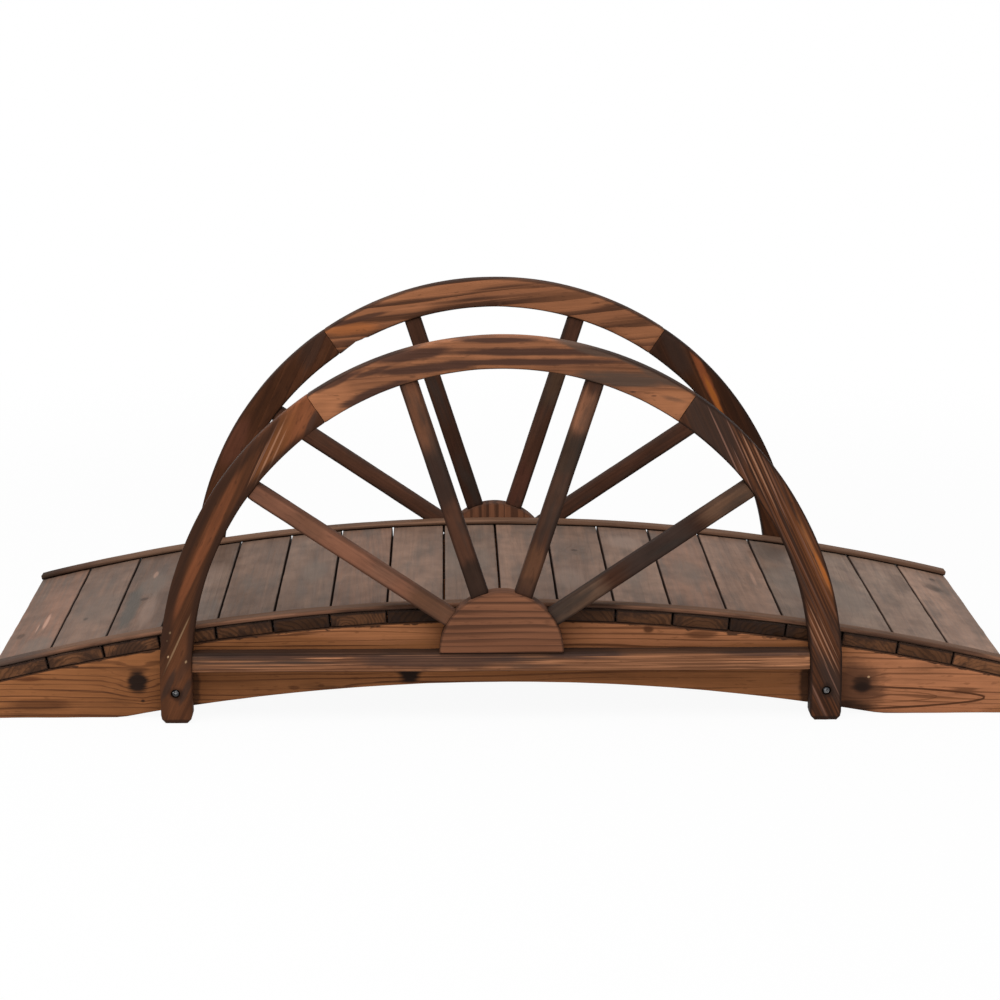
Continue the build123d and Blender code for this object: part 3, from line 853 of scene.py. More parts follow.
class BRIDGE_OT_rims(bpy.types.Operator):
    """Shape the felloes of both half wheels"""

    bl_idname = "bridge.rims"
    bl_label = "Rims"

    CUTS = (110, 5, 3)
    TOP_SEEDS, SIDE_SEEDS = (70.0, 300), (80.0, 310)
    # A bite out of the far top felloe's inner edge: place along it, half length, depth and roughness
    BITE_PLACE, BITE_REACH, BITE_DEPTH, BITE_ROUGH = -0.252, 0.03, 0.0055, 160.0
    GRAIN_HEIGHT = 0.2
    BOLT_STAIN, STAIN_STRENGTH = 0.013, 0.75
    # The faces that the photograph shows
    SEEN = {"front": -RIM_FACE, "back": DECK_EDGE}

    # Each felloe's sawing, kind of wood, lightness, finish, burnt edge with a line round the foot that is partly
    # painted contact shadow, and rows for marks_at
    TOPS = {
        "front": {
            "cut": ring_cut((-0.1, -0.03), 0.0075, (0.15, 0.5), crook=0.3, swell=6.0, soft=0.2, drift=1.2),
            "lift": 0.9, "way": (1, 0, 0),
            "finish": {"scorch": 0.25, "ragged": 0.9, "strength": 0.35, "fleck": 0.4, "cloud": 0.35},
            "edge": rim_edge((0.86, 1.02), (0.8, 1.02), (0.553, 0.578), (0.0, 0.1)),
            "warm": ((-0.262, 0.49, 0.06, 0.05, ("rim_pale", 0.98), 1.0),
                     (0.245, 0.48, 0.07, 0.03, "rim_pale", 0.9)),
            "marks": (
                (-0.012, 0.5755, 0.085, 0.0056, "band", 0.95, 0.0),
                (-0.126, 0.555, 0.08, 0.0125, "band", 0.95, 0.18),
                (0.035, 0.559, 0.18, 0.0078, "band", 0.95, 0.0),
                (-0.112, 0.5345, 0.1, 0.0086, "band", 0.95, 0.09),
                (0.055, 0.544, 0.19, 0.0062, "band", 0.95, 0.0),
                (-0.188, 0.4965, 0.065, 0.0115, "band", 0.95, 0.4),
                (-0.238, 0.516, 0.045, 0.007, "band", 0.9, 0.45),
                (-0.19, 0.529, 0.045, 0.0052, "band", 0.8, 0.35), (-0.275, 0.501, 0.02, 0.003, "band", 0.7, 0.55),
                (0.117, 0.565, 0.06, 0.0085, "ash", 0.9, -0.3), (0.19, 0.542, 0.07, 0.005, "ash", 0.85, -0.42),
                (0.18, 0.5165, 0.1, 0.015, "ash", 0.95, -0.06), (0.235, 0.517, 0.04, 0.006, "ash", 0.8, -0.45),
                (0.191, 0.499, 0.007, 0.0018, "band", 0.9, 0.0), (0.249, 0.4885, 0.025, 0.005, "ash", 0.45, -0.2),
                (0.222, 0.493, 0.006, 0.0016, "band", 0.7, 0.0),
            ),
        },
        "back": {
            "cut": ring_cut((-0.5, -0.04), 0.021, (0.25, 0.8), wander=0.06, swell=4.0, soft=0.22, drift=1.2),
            "lift": 0.92, "way": (1, 0, 0.1),
            "finish": {"scorch": 0.3, "edge": 0.8, "ragged": 0.9},
            "edge": rim_edge((0.8, 1.0), (0.76, 1.0)),
            "warm": ((-0.242, 0.4975, 0.075, 0.012, (0.33, 0.112, 0.038), 0.95),),
            "marks": ((-0.2286, 0.5128, 0.07, 0.0055, "band", 0.85, -0.15),),
        },
    }
    SIDE_EDGE = rim_edge((0.74, 1.0), (0.72, 1.0))
    FLANKS = {
        ("front", "left"): {
            "cut": ring_cut((-0.4, -0.03), 0.017, (0.2, 0.7), wander=0.05, swell=3.0, soft=0.3),
            "lift": 0.68,
            "finish": {"scorch": 0.5, "strength": 0.45, "char": "leg_dark", "hair": 0.12, "cloud": 0.4},
            "edge": rim_edge((0.35, 0.9), (0.05, 0.7), (0.38, 0.5), (0.06, 0.16)),
            "warm": ((-0.2906, 0.4667, 0.06, 0.026, (0.205, 0.068, 0.028), 0.95),
                     (-0.335, 0.412, 0.09, 0.016, "ember", 0.6),
                     (-0.442, 0.26, 0.18, 0.01, (0.172, 0.057, 0.024), 1.0),
                     (-0.484, 0.06, 0.13, 0.04, ("leg_pale", 0.64), 0.85)),
            "marks": (
                (-0.4815, 0.121, 0.06, 0.0018, "bare", 0.24), (-0.4909, 0.1394, 0.003, 0.002, "bare", 0.9),
                (-0.4947, 0.1027, 0.0025, 0.0016, "bare", 0.8), (-0.4683, 0.0949, 0.003, 0.002, "bare", 0.9),
                (-0.4956, 0.1272, 0.002, 0.0014, "bare", 0.7), (-0.472, 0.085, 0.04, 0.008, "coal", 0.4),
                (-0.495, 0.06, 0.035, 0.0065, "coal", 0.8), (-0.47, 0.0494, 0.03, 0.006, "coal", 0.75),
                (-0.2774, 0.4559, 0.028, 0.0065, "coal", 0.75), (-0.3394, 0.4096, 0.075, 0.0017, "line", 0.75),
                (-0.332, 0.406, 0.05, 0.0014, "line", 0.6), (-0.346, 0.4128, 0.06, 0.0012, "faint", 0.8),
                (-0.356, 0.396, 0.05, 0.0012, "line", 0.5),
            ),
        },
        ("front", "right"): {
            "cut": ring_cut((-0.4, -0.02), 0.0068, (0.3, 0.75), wander=0.02, swell=5.0, soft=0.14, drift=3.0),
            "lift": 0.77,
            "finish": {"scorch": 0.55, "strength": 0.75, "hair": 0.35, "hair_from": (0.56, 0.62), "clear": 0.45,
                       "lit": "faint"},
            "edge": SIDE_EDGE,
            "warm": ((0.458, 0.25, 0.12, 0.015, (0.12, 0.041, 0.015), 0.8),
                     (0.4645, 0.247, 0.11, 0.0058, (0.25, 0.092, 0.034), 1.0),
                     (0.4784, 0.2218, 0.055, 0.0042, ("glow", 0.75), 0.95)),
            "marks": (
                (0.3036, 0.4511, 0.11, 0.04, "coal", 0.85), (0.493, 0.064, 0.06, 0.017, "coal", 0.85),
                (0.503, 0.125, 0.06, 0.01, "coal", 0.5), (0.4379, 0.2289, 0.07, 0.005, "coal", 0.6),
                (0.4197, 0.2977, 0.07, 0.0022, "coal", 0.6), (0.4016, 0.366, 0.06, 0.002, "coal", 0.6),
                (0.43, 0.32, 0.05, 0.0016, "coal", 0.6), (0.46, 0.252, 0.06, 0.0014, "coal", 0.7),
                (0.4055, 0.3388, 0.06, 0.0014, "faint", 0.6), (0.45, 0.264, 0.05, 0.0012, "faint", 0.6),
                (0.3273, 0.4206, 0.09, 0.0016, "faint", 0.9), (0.342, 0.429, 0.06, 0.0012, "faint", 0.8),
                (0.376, 0.384, 0.085, 0.0018, "line", 0.85), (0.3691, 0.381, 0.07, 0.0014, "line", 0.65),
                (0.384, 0.388, 0.07, 0.0014, "line", 0.6), (0.36, 0.369, 0.06, 0.0012, "faint", 0.8),
                (0.4797, 0.1247, 0.085, 0.0018, "line", 0.8), (0.4735, 0.124, 0.07, 0.0014, "line", 0.65),
                (0.468, 0.119, 0.06, 0.0014, "line", 0.5), (0.485, 0.129, 0.05, 0.0012, "line", 0.5),
                (0.492, 0.064, 0.05, 0.0014, "faint", 0.7), (0.472, 0.035, 0.04, 0.0014, "faint", 0.7),
            ),
        },
        ("back", "left"): {
            "cut": ring_cut((-0.4, -0.03), 0.02, (0.35, 0.85), wander=0.05, swell=3.0, soft=0.3),
            "lift": 0.52,
            "finish": {"scorch": 0.4, "strength": 0.4, "char": "leg_dark", "cloud": 0.5},
            "edge": SIDE_EDGE,
            "warm": ((-0.4346, 0.3053, 0.06, 0.024, (0.11, 0.039, 0.022), 0.8),),
            "marks": ((-0.3, 0.47, 0.06, 0.02, "coal", 0.6),),
        },
        ("back", "right"): {
            "cut": ring_cut((-0.4, -0.03), 0.014, (0.5, 0.9), wander=0.04, swell=3.0, soft=0.2),
            "lift": 0.42,
            "finish": {"scorch": 0.6, "strength": 0.35, "hair": 0.06, "streak": 0.4},
            "edge": SIDE_EDGE,
            "warm": ((0.3545, 0.409, 0.09, 0.01, (0.205, 0.059, 0.021), 1.0),
                     (0.369, 0.379, 0.055, 0.0058, ("glow", 0.62), 1.0)),
            "marks": ((0.3034, 0.456, 0.06, 0.02, "coal", 0.6),),
        },
    }

    def execute(self, context):
        for number, (side, facing) in enumerate(SIDES):
            self.top(context, number, side, facing)
            for hand, sign in HANDS:
                self.flank(context, number, side, facing, hand, sign)
        return {"FINISHED"}

    def blank(self, context, name, long, seed, put):
        """A worn bar, bent to its place."""
        shape = context.scene.bridge_shape
        size = (long, RIM_WIDTH, RIM_DEPTH)
        piece = bar(name, size, shape.round_over, shape.end_round, self.CUTS)
        weather(piece, shape.swell, shape.wear, seed)
        settle(piece, put)
        return piece

    def burnt_wood(self, context, piece, side, kind, grain, look, seed, stains=()):
        wood = context.scene.bridge_wood
        finish = wood_tone(wood, kind, look["lift"], **look["finish"])
        warm, marks = (marks_at(wood, self.SEEN[side], look[rows]) for rows in ("warm", "marks"))
        return timber(piece.name, grain, look["cut"], finish, look["edge"], warm=warm, marks=[*marks, *stains],
                      seed=seed)

    def top(self, context, number, side, facing):
        middle = facing * (DECK_EDGE + RIM_FACE) / 2
        seam = math.radians(90.0 - SEAM_ANGLE)
        wear_seed, grain_seed = self.TOP_SEEDS

        def put(x, y, z):
            if side == "back":
                bite = self.BITE_DEPTH * max(0.0, 1.0 - abs(x - self.BITE_PLACE) / self.BITE_REACH)
                rough = 0.7 + 0.6 * noise.noise(Vector((x * self.BITE_ROUGH, 0.0, 0.0)))
                y = max(y, bite * rough - RIM_WIDTH / 2)
            turn, radius = x / RIM_MIDDLE, RIM_MIDDLE + y
            return Vector((radius * math.sin(turn), middle - z, RIM_CENTRE + radius * math.cos(turn)))

        piece = self.blank(context, f"{side}_felloe_top", 2 * seam * RIM_MIDDLE, wear_seed + number, put)
        look = self.TOPS[side]
        grain = StraightGrain((0, facing * RIM_FACE, RIM_CENTRE + RIM_MIDDLE), look["way"], (0, facing, 0))
        material = self.burnt_wood(context, piece, side, "rim", grain, look, grain_seed + number)
        keep(piece, material, f"{side}_rim_top")

    def flank(self, context, number, side, facing, hand, sign):
        wood, shape = context.scene.bridge_wood, context.scene.bridge_shape
        middle = facing * (DECK_EDGE + RIM_FACE) / 2
        seam = math.radians(90.0 - SEAM_ANGLE)
        arc = RIM_MIDDLE * math.radians(SEAM_ANGLE)
        long = arc + RIM_CENTRE
        wear_seed, grain_seed = self.SIDE_SEEDS

        def put(x, y, z):
            run = x + long / 2
            if run <= arc:
                turn, radius = seam + run / RIM_MIDDLE, RIM_MIDDLE + y
                across, height = sign * radius * math.sin(turn), RIM_CENTRE + radius * math.cos(turn)
                return Vector((across, middle - z, height))
            height = long - run
            limit = RIM_WIDTH / 2 - max(0.0, FOOT_CHAMFER - height)
            return Vector((sign * (RIM_MIDDLE + max(-limit, min(limit, y))), middle - z, height))

        name = f"{side}_felloe_{hand}"
        piece = self.blank(context, name, long, wear_seed + 3 * number + sign, put)
        spot = (sign * BOLT_REACH, shape.bolt_height)
        sunk = facing * (RIM_FACE - shape.sink)
        cut_away(piece, rod("bore", shape.counterbore / 2, sunk, facing * (RIM_FACE + shape.sink), spot))
        bpy.ops.object.shade_smooth_by_angle(angle=SMOOTH_ANGLE)

        lean = math.radians(FELLOE_LEAN)
        grain = StraightGrain((sign * RIM_MIDDLE, facing * RIM_FACE, self.GRAIN_HEIGHT),
                              (-sign * math.cos(lean), 0, math.sin(lean)), (0, facing, 0))
        stain = ((spot[0], facing * RIM_FACE, spot[1]), self.BOLT_STAIN, self.BOLT_STAIN, rgb(wood.char),
                 self.STAIN_STRENGTH)
        material = self.burnt_wood(context, piece, side, "leg", grain, self.FLANKS[side, hand],
                                   grain_seed + 4 * number + sign, [stain])
        keep(piece, material, f"{side}_rim_{hand}")


class BRIDGE_OT_rails(bpy.types.Operator):
    """Fit the bar across the foot of each half wheel"""

    bl_idname = "bridge.rails"
    bl_label = "Rails"

    CUTS = (130, 4, 3)
    WEAR_SEED, GRAIN_SEED = 90.0, 330
    LIFT, SOOT_LIFT = 0.92, 0.45
    CUT = ring_cut((-0.25, -0.03), 0.0052, (0.3, 0.8), crook=0.005, wander=0.012, swell=5.0, soft=0.16, drift=2.6)
    FINISH = {
        "scorch": 0.7, "flame": (0.5, 0.68), "plain": 0.6, "strength": 0.65, "hair": 0.85,
        "hair_from": (0.57, 0.63), "hair_scale": (5.0, 420.0, 420.0), "flame_scale": (2.6, 22.0, 22.0),
    }
    # Dark lengths of the near rail: rows for marks_at
    DUSK = ((-0.105, 0.096, 0.18, 0.018, "dusk", 0.68), (0.125, 0.101, 0.08, 0.008, "dusk", 0.8),
            (-0.33, 0.102, 0.16, 0.006, "dusk", 0.6), (0.4, 0.103, 0.1, 0.006, "dusk", 0.7))
    # Its pale lines: x, z, half length and strength
    LINES = ((0.19, 0.0985, 0.11, 0.8), (0.2, 0.0865, 0.05, 0.5), (0.18, 0.0815, 0.1, 0.6),
             (0.425, 0.095, 0.04, 0.8), (0.425, 0.091, 0.05, 0.8), (0.43, 0.0865, 0.05, 0.7),
             (0.42, 0.0825, 0.06, 0.6), (-0.39, 0.0935, 0.08, 0.7), (-0.36, 0.088, 0.11, 0.6),
             (-0.33, 0.083, 0.13, 0.6))
    LINE_WIDTH, LINE_SHADE = 0.0014, ("rail_pale", 1.15)

    def execute(self, context):
        wood, shape = context.scene.bridge_wood, context.scene.bridge_shape
        long = 2 * RAIL_HIGH.x
        size = (long, RAIL_HIGH.z - RAIL_LOW.z, RAIL_HIGH.y - RAIL_LOW.y)
        level = (RAIL_HIGH.z + RAIL_LOW.z) / 2
        lines = tuple((x, z, length, self.LINE_WIDTH, self.LINE_SHADE, strength)
                      for x, z, length, strength in self.LINES)
        marks = {"front": marks_at(wood, -RAIL_HIGH.y, self.DUSK + lines)}
        for number, (side, facing) in enumerate(SIDES):
            middle = facing * (RAIL_HIGH.y + RAIL_LOW.y) / 2

            def put(x, y, z):
                height = level + y
                end = math.sqrt(RIM_INNER ** 2 - (height - RIM_CENTRE) ** 2)
                return Vector((2 * x / long * end, middle - z, height))

            name = f"{side}_rail_bar"
            piece = bar(name, size, shape.rail_round, shape.end_round, self.CUTS)
            weather(piece, shape.swell, shape.wear, self.WEAR_SEED + number)
            settle(piece, put)
            grain = StraightGrain((0, facing * RAIL_HIGH.y, level), (1, 0, 0), (0, facing, 0))
            finish = wood_tone(wood, "rail", self.LIFT, soot=rgb(wood.soot, self.SOOT_LIFT), **self.FINISH)
            material = timber(name, grain, self.CUT, finish, rail_edge, marks=marks.get(side, ()),
                              seed=self.GRAIN_SEED + number)
            keep(piece, material, f"{side}_rail")
        return {"FINISHED"}


class BRIDGE_OT_hubs(bpy.types.Operator):
    """Cut the half disc of each wheel"""

    bl_idname = "bridge.hubs"
    bl_label = "Hubs"

    SIDES_OF_ROUND, ROUND_STEPS = 128, 4
    GRAIN_SEED = 340
    FINISH = {"scorch": 0.3, "plain": 0.8, "edge": 0.5}
    # Each half disc's sawing, the way its grain runs, and its lightness
    LOOKS = {
        "front": (ring_cut((-0.3, -0.05), 0.0102, (0.22, 0.58), crook=0.2, wander=0.02, swell=3.0, soft=0.3,
                           rag=0.7), (1, 0, 0), 1.0),
        "back": (ring_cut((-0.2, -0.05), 0.015, (0.2, 0.6), wander=0.02, swell=3.0), (0, 0, 1), 0.8),
    }

    def execute(self, context):
        wood, shape = context.scene.bridge_wood, context.scene.bridge_shape
        base = HUB_LOW.z
        for number, (side, facing) in enumerate(SIDES):
            name = f"{side}_half_disc"
            inner, outer = facing * HUB_LOW.y, facing * HUB_HIGH.y
            piece = rod(name, HUB_RADIUS, inner, outer, (0, base), self.SIDES_OF_ROUND)
            edit((bpy.ops.mesh.select_all, {"action": "SELECT"}),
                 (bpy.ops.mesh.bisect, {"plane_co": (0, 0, base), "plane_no": (0, 0, 1),
                                        "clear_inner": True, "use_fill": True}))
            soften(piece, lambda a, b: abs(a.y - b.y) < LEVEL, shape.hub_round, self.ROUND_STEPS)
            settle(piece)
            cut, way, lift = self.LOOKS[side]
            grain = StraightGrain((0, outer, base), way, (0, facing, 0))
            finish = wood_tone(wood, "hub", lift, **self.FINISH)
            material = timber(name, grain, cut, finish, hub_edge, seed=self.GRAIN_SEED + number)
            keep(piece, material, f"{side}_hub")
        return {"FINISHED"}


class BRIDGE_OT_spokes(bpy.types.Operator):
    """Fit the spokes between the hubs and the rims"""

    bl_idname = "bridge.spokes"
    bl_label = "Spokes"

    CUTS = (54, 4, 3)
    WEAR_SEED, GRAIN_SEED = 120.0, 400
    WEAR_SHARE, EDGE_SHARE, SOOT_LIFT = 0.8, 0.45, 0.32
    SPACING, LATE = 0.0065, (0.15, 0.6)
    FINISH = {
        "flame_scale": (9.0, 34.0, 34.0), "strength": 0.15, "flame": (0.44, 0.7), "hair": 0.08,
        "streak": 0.3, "ridge": 0.06, "fleck": 0.25, "cloud": 0.6, "edge": 0.5,
    }
    # How light each spoke was left, and how much of it the torch blackened
    BURN = {("front", "outer_left"): (1.27, 0.3), ("front", "inner_left"): (0.5, 0.6),
            ("front", "inner_right"): (0.5, 0.6), ("front", "outer_right"): (0.3, 0.7),
            ("back", "outer_left"): (0.52, 0.5), ("back", "inner_left"): (0.31, 0.6),
            ("back", "inner_right"): (0.42, 0.6), ("back", "outer_right"): (0.48, 0.5)}
    # Lighter and darker lengths of a spoke: x, z, half length, colour and strength
    LENGTHS = {
        ("front", "inner_left"): (
            (-0.125, 0.46, 0.085, (0.142, 0.058, 0.03), 0.95),
            (-0.091, 0.3723, 0.062, (0.034, 0.02, 0.015), 0.85),
            (-0.06, 0.296, 0.045, (0.074, 0.031, 0.018), 0.7), (-0.036, 0.215, 0.042, (0.03, 0.017, 0.012), 0.9),
        ),
        ("front", "inner_right"): (
            (0.1206, 0.464, 0.044, (0.23, 0.096, 0.05), 0.9), (0.0989, 0.4044, 0.048, (0.044, 0.027, 0.018), 0.8),
            (0.076, 0.335, 0.05, (0.076, 0.036, 0.022), 0.8), (0.045, 0.235, 0.045, (0.115, 0.05, 0.026), 0.8),
            (0.03, 0.208, 0.02, (0.036, 0.02, 0.014), 0.45),
        ),
        ("front", "outer_right"): (
            (0.34, 0.34, 0.07, (0.122, 0.064, 0.038), 0.9), (0.115, 0.186, 0.06, (0.115, 0.066, 0.042), 0.85),
            (0.2321, 0.2626, 0.08, (0.04, 0.027, 0.022), 0.7),
        ),
        ("front", "outer_left"): (
            (-0.104, 0.176, 0.06, (0.112, 0.051, 0.028), 0.9), (-0.1711, 0.23, 0.03, (0.175, 0.082, 0.05), 0.6),
            (-0.285, 0.298, 0.04, (0.15, 0.067, 0.039), 0.7),
        ),
        ("back", "inner_right"): (
            (0.1035, 0.3939, 0.04, (0.07, 0.04, 0.024), 0.7), (0.036, 0.23, 0.05, (0.08, 0.03, 0.019), 0.8),
        ),
    }
    # Half width of those lengths, which reach past both edges
    LENGTH_WIDTH = 0.05

    def execute(self, context):
        for number, (side, facing) in enumerate(SIDES):
            for count, (hand, (offset, angle)) in enumerate(SPOKES.items()):
                self.spoke(context, 10 * number + count, 9 * number + count, side, facing, hand, offset, angle)
        return {"FINISHED"}

    def spoke(self, context, grain_step, wear_step, side, facing, hand, offset, angle):
        wood, shape = context.scene.bridge_wood, context.scene.bridge_shape
        name = f"{side}_spoke_bar_{hand}"
        face = facing * SPOKE_HIGH.y
        middle = facing * (SPOKE_HIGH.y + SPOKE_LOW.y) / 2
        long = RIM_INNER - HUB_RADIUS
        root, hub, rim = Vector((offset, HUB_LOW.z)), Vector((0, HUB_LOW.z)), Vector((0, RIM_CENTRE))
        ray = Vector((math.cos(math.radians(angle)), math.sin(math.radians(angle))))
        flank = Vector((-ray.y, ray.x))

        def meets(start, centre, radius):
            """How far along the spoke its line from start leaves a circle."""
            gap = start - centre
            lead = gap.dot(ray)
            return -lead + math.sqrt(lead * lead - gap.dot(gap) + radius * radius)

        def put(x, y, z):
            start = root + flank * y
            near, far = meets(start, hub, HUB_RADIUS), meets(start, rim, RIM_INNER)
            spot = start + ray * (near + (x / long + 0.5) * (far - near))
            return Vector((spot.x, middle - z, spot.y))

        size = (long, SPOKE_WIDTH, SPOKE_HIGH.y - SPOKE_LOW.y)
        piece = bar(name, size, shape.spoke_round, shape.end_round, self.CUTS)
        weather(piece, shape.swell, shape.wear * self.WEAR_SHARE, self.WEAR_SEED + wear_step)
        settle(piece, put)

        seed = self.GRAIN_SEED + grain_step
        draw = random.Random(seed)
        pith = (draw.choice((-1, 1)) * draw.uniform(0.06, 0.12), -0.03)
        cut = ring_cut(pith, self.SPACING, self.LATE, tilt=draw.uniform(-0.03, 0.03), wander=0.02)
        centre = root + ray * (HUB_RADIUS + long / 2)
        grain = StraightGrain((centre.x, face, centre.y), (ray.x, 0, ray.y), (0, facing, 0))
        lift, scorch = self.BURN[side, hand]
        finish = wood_tone(wood, "spoke", lift, scorch=scorch, soot=rgb(wood.soot, self.SOOT_LIFT), **self.FINISH)
        lengths = ((x, z, reach, self.LENGTH_WIDTH, shade, strength)
                   for x, z, reach, shade, strength in self.LENGTHS.get((side, hand), ()))
        material = timber(name, grain, cut, finish, bar_edge(SPOKE_WIDTH / 2, self.EDGE_SHARE),
                          warm=marks_at(wood, face, lengths), seed=seed)
        keep(piece, material, f"{side}_spoke_{hand}")


class BRIDGE_OT_bolts(bpy.types.Operator):
    """Bolt the legs to the side beams"""

    bl_idname = "bridge.bolts"
    bl_label = "Bolts"

    # A bolt head, from the floor of its hole: root below it, height, rounding, and its hexagon
    HEAD_ROOT, HEAD_RISE, HEAD_ROUND, HEAD_STEPS = 0.001, 0.0042, 0.0016, 4
    SOCKET_FLOOR, SOCKET_SIDES, SOCKET_TURN = 0.0016, 6, 0.3
    # What holds it behind the beam: name, radius, start and end of its depth, sides and rounding
    FASTENINGS = (("washer", 0.0085, 0.0, 0.0014, 32, 0.0003), ("nut", 0.0065, 0.0014, 0.0068, 6, 0.0006),
                  ("bolt_end", 0.003, 0.006, 0.0098, 32, 0.0008))

    def execute(self, context):
        wood, shape = context.scene.bridge_wood, context.scene.bridge_shape
        steel = blackened_steel("bolt_steel", rgb(wood.steel))
        floor = RIM_FACE - shape.sink
        for side, facing in SIDES:
            for hand, sign in HANDS:
                spot = (sign * BOLT_REACH, shape.bolt_height)
                head = rod(f"{side}_{hand}_bolt", shape.bolt_head / 2, facing * (floor - self.HEAD_ROOT),
                           facing * (floor + self.HEAD_RISE), spot)
                soften(head, lambda a, b: abs(a.y - b.y) < LEVEL and abs(a.y) > floor, self.HEAD_ROUND,
                       self.HEAD_STEPS)
                socket = rod("socket", shape.bolt_socket / math.sqrt(3), facing * (floor + self.SOCKET_FLOOR),
                             facing * RIM_FACE, spot, self.SOCKET_SIDES, self.SOCKET_TURN)
                cut_away(head, socket)
                settle(head)
                keep(head, steel)
                for name, radius, start, stop, sides, rounding in self.FASTENINGS:
                    part = rod(f"{side}_{hand}_{name}", radius, facing * (BEAM_LOW.y - start),
                               facing * (BEAM_LOW.y - stop), spot, sides)
                    soften(part, lambda a, b: abs(a.y - b.y) < LEVEL, rounding, 2)
                    settle(part)
                    keep(part, steel)
        return {"FINISHED"}


def blackened_steel(name, colour):
    """Oil-blackened steel, worn brighter in places."""
    material, tree = new_material(name)
    place = Wire.add(tree, "ShaderNodeTexCoord", output=3)
    cloud = place.grain((260.0, 260.0, 260.0), 4.0, 0.6)
    worn = cloud.step(0.48, 0.64)
    surface = Wire.add(tree, "ShaderNodeBsdfPrincipled", None,
                       {"Base Color": worn.mix(colour, (0.36, 0.35, 0.34, 1.0)), "Metallic": 0.85,
                        "Roughness": cloud * 0.25 + 0.25,
                        "Normal": Wire.add(tree, "ShaderNodeBump", None,
                                           {"Strength": 0.3, "Distance": 0.0003, "Height": cloud})})
    close_material(tree, surface)
    return material


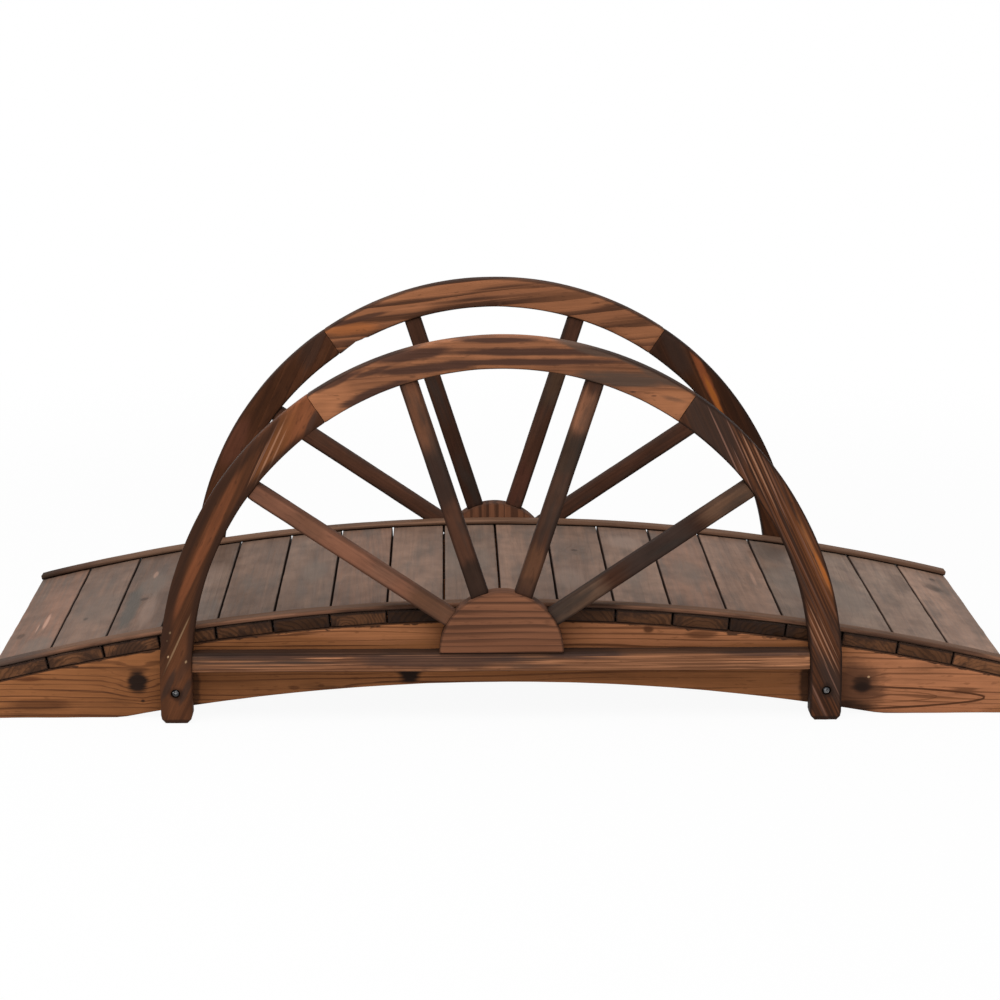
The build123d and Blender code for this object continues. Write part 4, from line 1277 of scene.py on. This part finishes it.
class BRIDGE_OT_stage(bpy.types.Operator):
    """Set the floor, the light and the camera"""

    bl_idname = "bridge.stage"
    bl_label = "Stage"

    WHITE = (1, 1, 1, 1)
    FLOOR_SIZE = 60.0
    # How much of the floor's own shade the camera sees near the bridge, and where that ends
    SHADE, SHADE_REACH = 0.06, (1.0, 3.0)
    LAMP_PLACE, LAMP_AIM, LAMP_SIZE = (-0.8, -1.6, 3.6), (0, 0, 0.2), (4.0, 3.0)
    EYE, PITCH, TURN = (-0.0818, -4.448, 1.2333), 12.24, -1.1
    LENS, SENSOR, FAR_CLIP = 103.5, 36.0, 200.0

    def execute(self, context):
        stage, scene = context.scene.bridge_stage, context.scene
        self.lay_floor(stage)

        scene.world = bpy.data.worlds.new("studio")
        scene.world.use_nodes = True
        tree = scene.world.node_tree
        tree.nodes.clear()
        path = tree.nodes.new("ShaderNodeLightPath")
        strength = Wire(path.outputs["Is Camera Ray"]) * (1.0 - stage.sky) + stage.sky
        sky = Wire.add(tree, "ShaderNodeBackground", None, {"Color": self.WHITE, "Strength": strength})
        output = tree.nodes.new("ShaderNodeOutputWorld")
        tree.links.new(sky.socket, output.inputs["Surface"])

        lamp = bpy.data.lights.new("overhead", "AREA")
        lamp.shape = "RECTANGLE"
        lamp.size, lamp.size_y = self.LAMP_SIZE
        lamp.energy = stage.key
        key = bpy.data.objects.new("overhead", lamp)
        scene.collection.objects.link(key)
        key.location = self.LAMP_PLACE
        key.rotation_euler = (Vector(self.LAMP_AIM) - key.location).to_track_quat("-Z", "Y").to_euler()

        camera = bpy.data.cameras.new("camera")
        camera.sensor_width = self.SENSOR
        camera.lens = self.LENS
        camera.clip_end = self.FAR_CLIP
        eye = bpy.data.objects.new("camera", camera)
        scene.collection.objects.link(eye)
        eye.location = self.EYE
        eye.rotation_euler = (math.radians(90 - self.PITCH), 0.0, math.radians(self.TURN))
        scene.camera = eye
        scene.view_settings.view_transform = "Standard"
        return {"FINISHED"}

    def lay_floor(self, stage):
        select_none()
        bpy.ops.mesh.primitive_plane_add(size=self.FLOOR_SIZE, location=(0, 0, 0))
        floor = named("floor")
        material, tree = new_material("floor")
        path = tree.nodes.new("ShaderNodeLightPath")
        seen = Wire(path.outputs["Is Camera Ray"]).math("MAXIMUM", Wire(path.outputs["Is Glossy Ray"]))
        seen = seen.math("MAXIMUM", Wire(path.outputs["Is Transmission Ray"]))
        matt = Wire.add(tree, "ShaderNodeBsdfDiffuse", None, {"Color": rgb(stage.floor)})
        bright = Wire.add(tree, "ShaderNodeEmission", None, {"Color": self.WHITE, "Strength": 1.0})
        east, north, _ = Wire.add(tree, "ShaderNodeTexCoord", output=3).axes()
        share = root_of_squares(east, north).step(*self.SHADE_REACH) * self.SHADE + (1.0 - self.SHADE)
        close_material(tree, Wire.add(tree, "ShaderNodeMixShader", None, {0: seen * share, 1: matt, 2: bright}))
        floor.data.materials.append(material)


class BRIDGE_PT_panel(bpy.types.Panel):
    """Lists the pieces of the bridge"""

    bl_idname = "BRIDGE_PT_panel"
    bl_label = "Moon bridge"
    bl_space_type = "VIEW_3D"
    bl_region_type = "UI"
    bl_category = "Bridge"

    def draw(self, context):
        for operator in OPERATORS:
            self.layout.operator(operator.bl_idname)


OPERATORS = (BRIDGE_OT_deck, BRIDGE_OT_beams, BRIDGE_OT_strips, BRIDGE_OT_rims, BRIDGE_OT_rails,
             BRIDGE_OT_hubs, BRIDGE_OT_spokes, BRIDGE_OT_bolts, BRIDGE_OT_stage)
CLASSES = (BridgeWood, BridgeShape, BridgeStage, *OPERATORS, BRIDGE_PT_panel)


def register():
    for one in CLASSES:
        bpy.utils.register_class(one)
    bpy.types.Scene.bridge_wood = bpy.props.PointerProperty(type=BridgeWood)
    bpy.types.Scene.bridge_shape = bpy.props.PointerProperty(type=BridgeShape)
    bpy.types.Scene.bridge_stage = bpy.props.PointerProperty(type=BridgeStage)


def unregister():
    for name in ("bridge_stage", "bridge_shape", "bridge_wood"):
        delattr(bpy.types.Scene, name)
    for one in reversed(CLASSES):
        bpy.utils.unregister_class(one)


def main():
    register()
    bpy.ops.bridge.deck()
    bpy.ops.bridge.beams()
    bpy.ops.bridge.strips()
    bpy.ops.bridge.rims()
    bpy.ops.bridge.rails()
    bpy.ops.bridge.hubs()
    bpy.ops.bridge.spokes()
    bpy.ops.bridge.bolts()
    bpy.ops.bridge.stage()


if __name__ == "__main__":
    main()
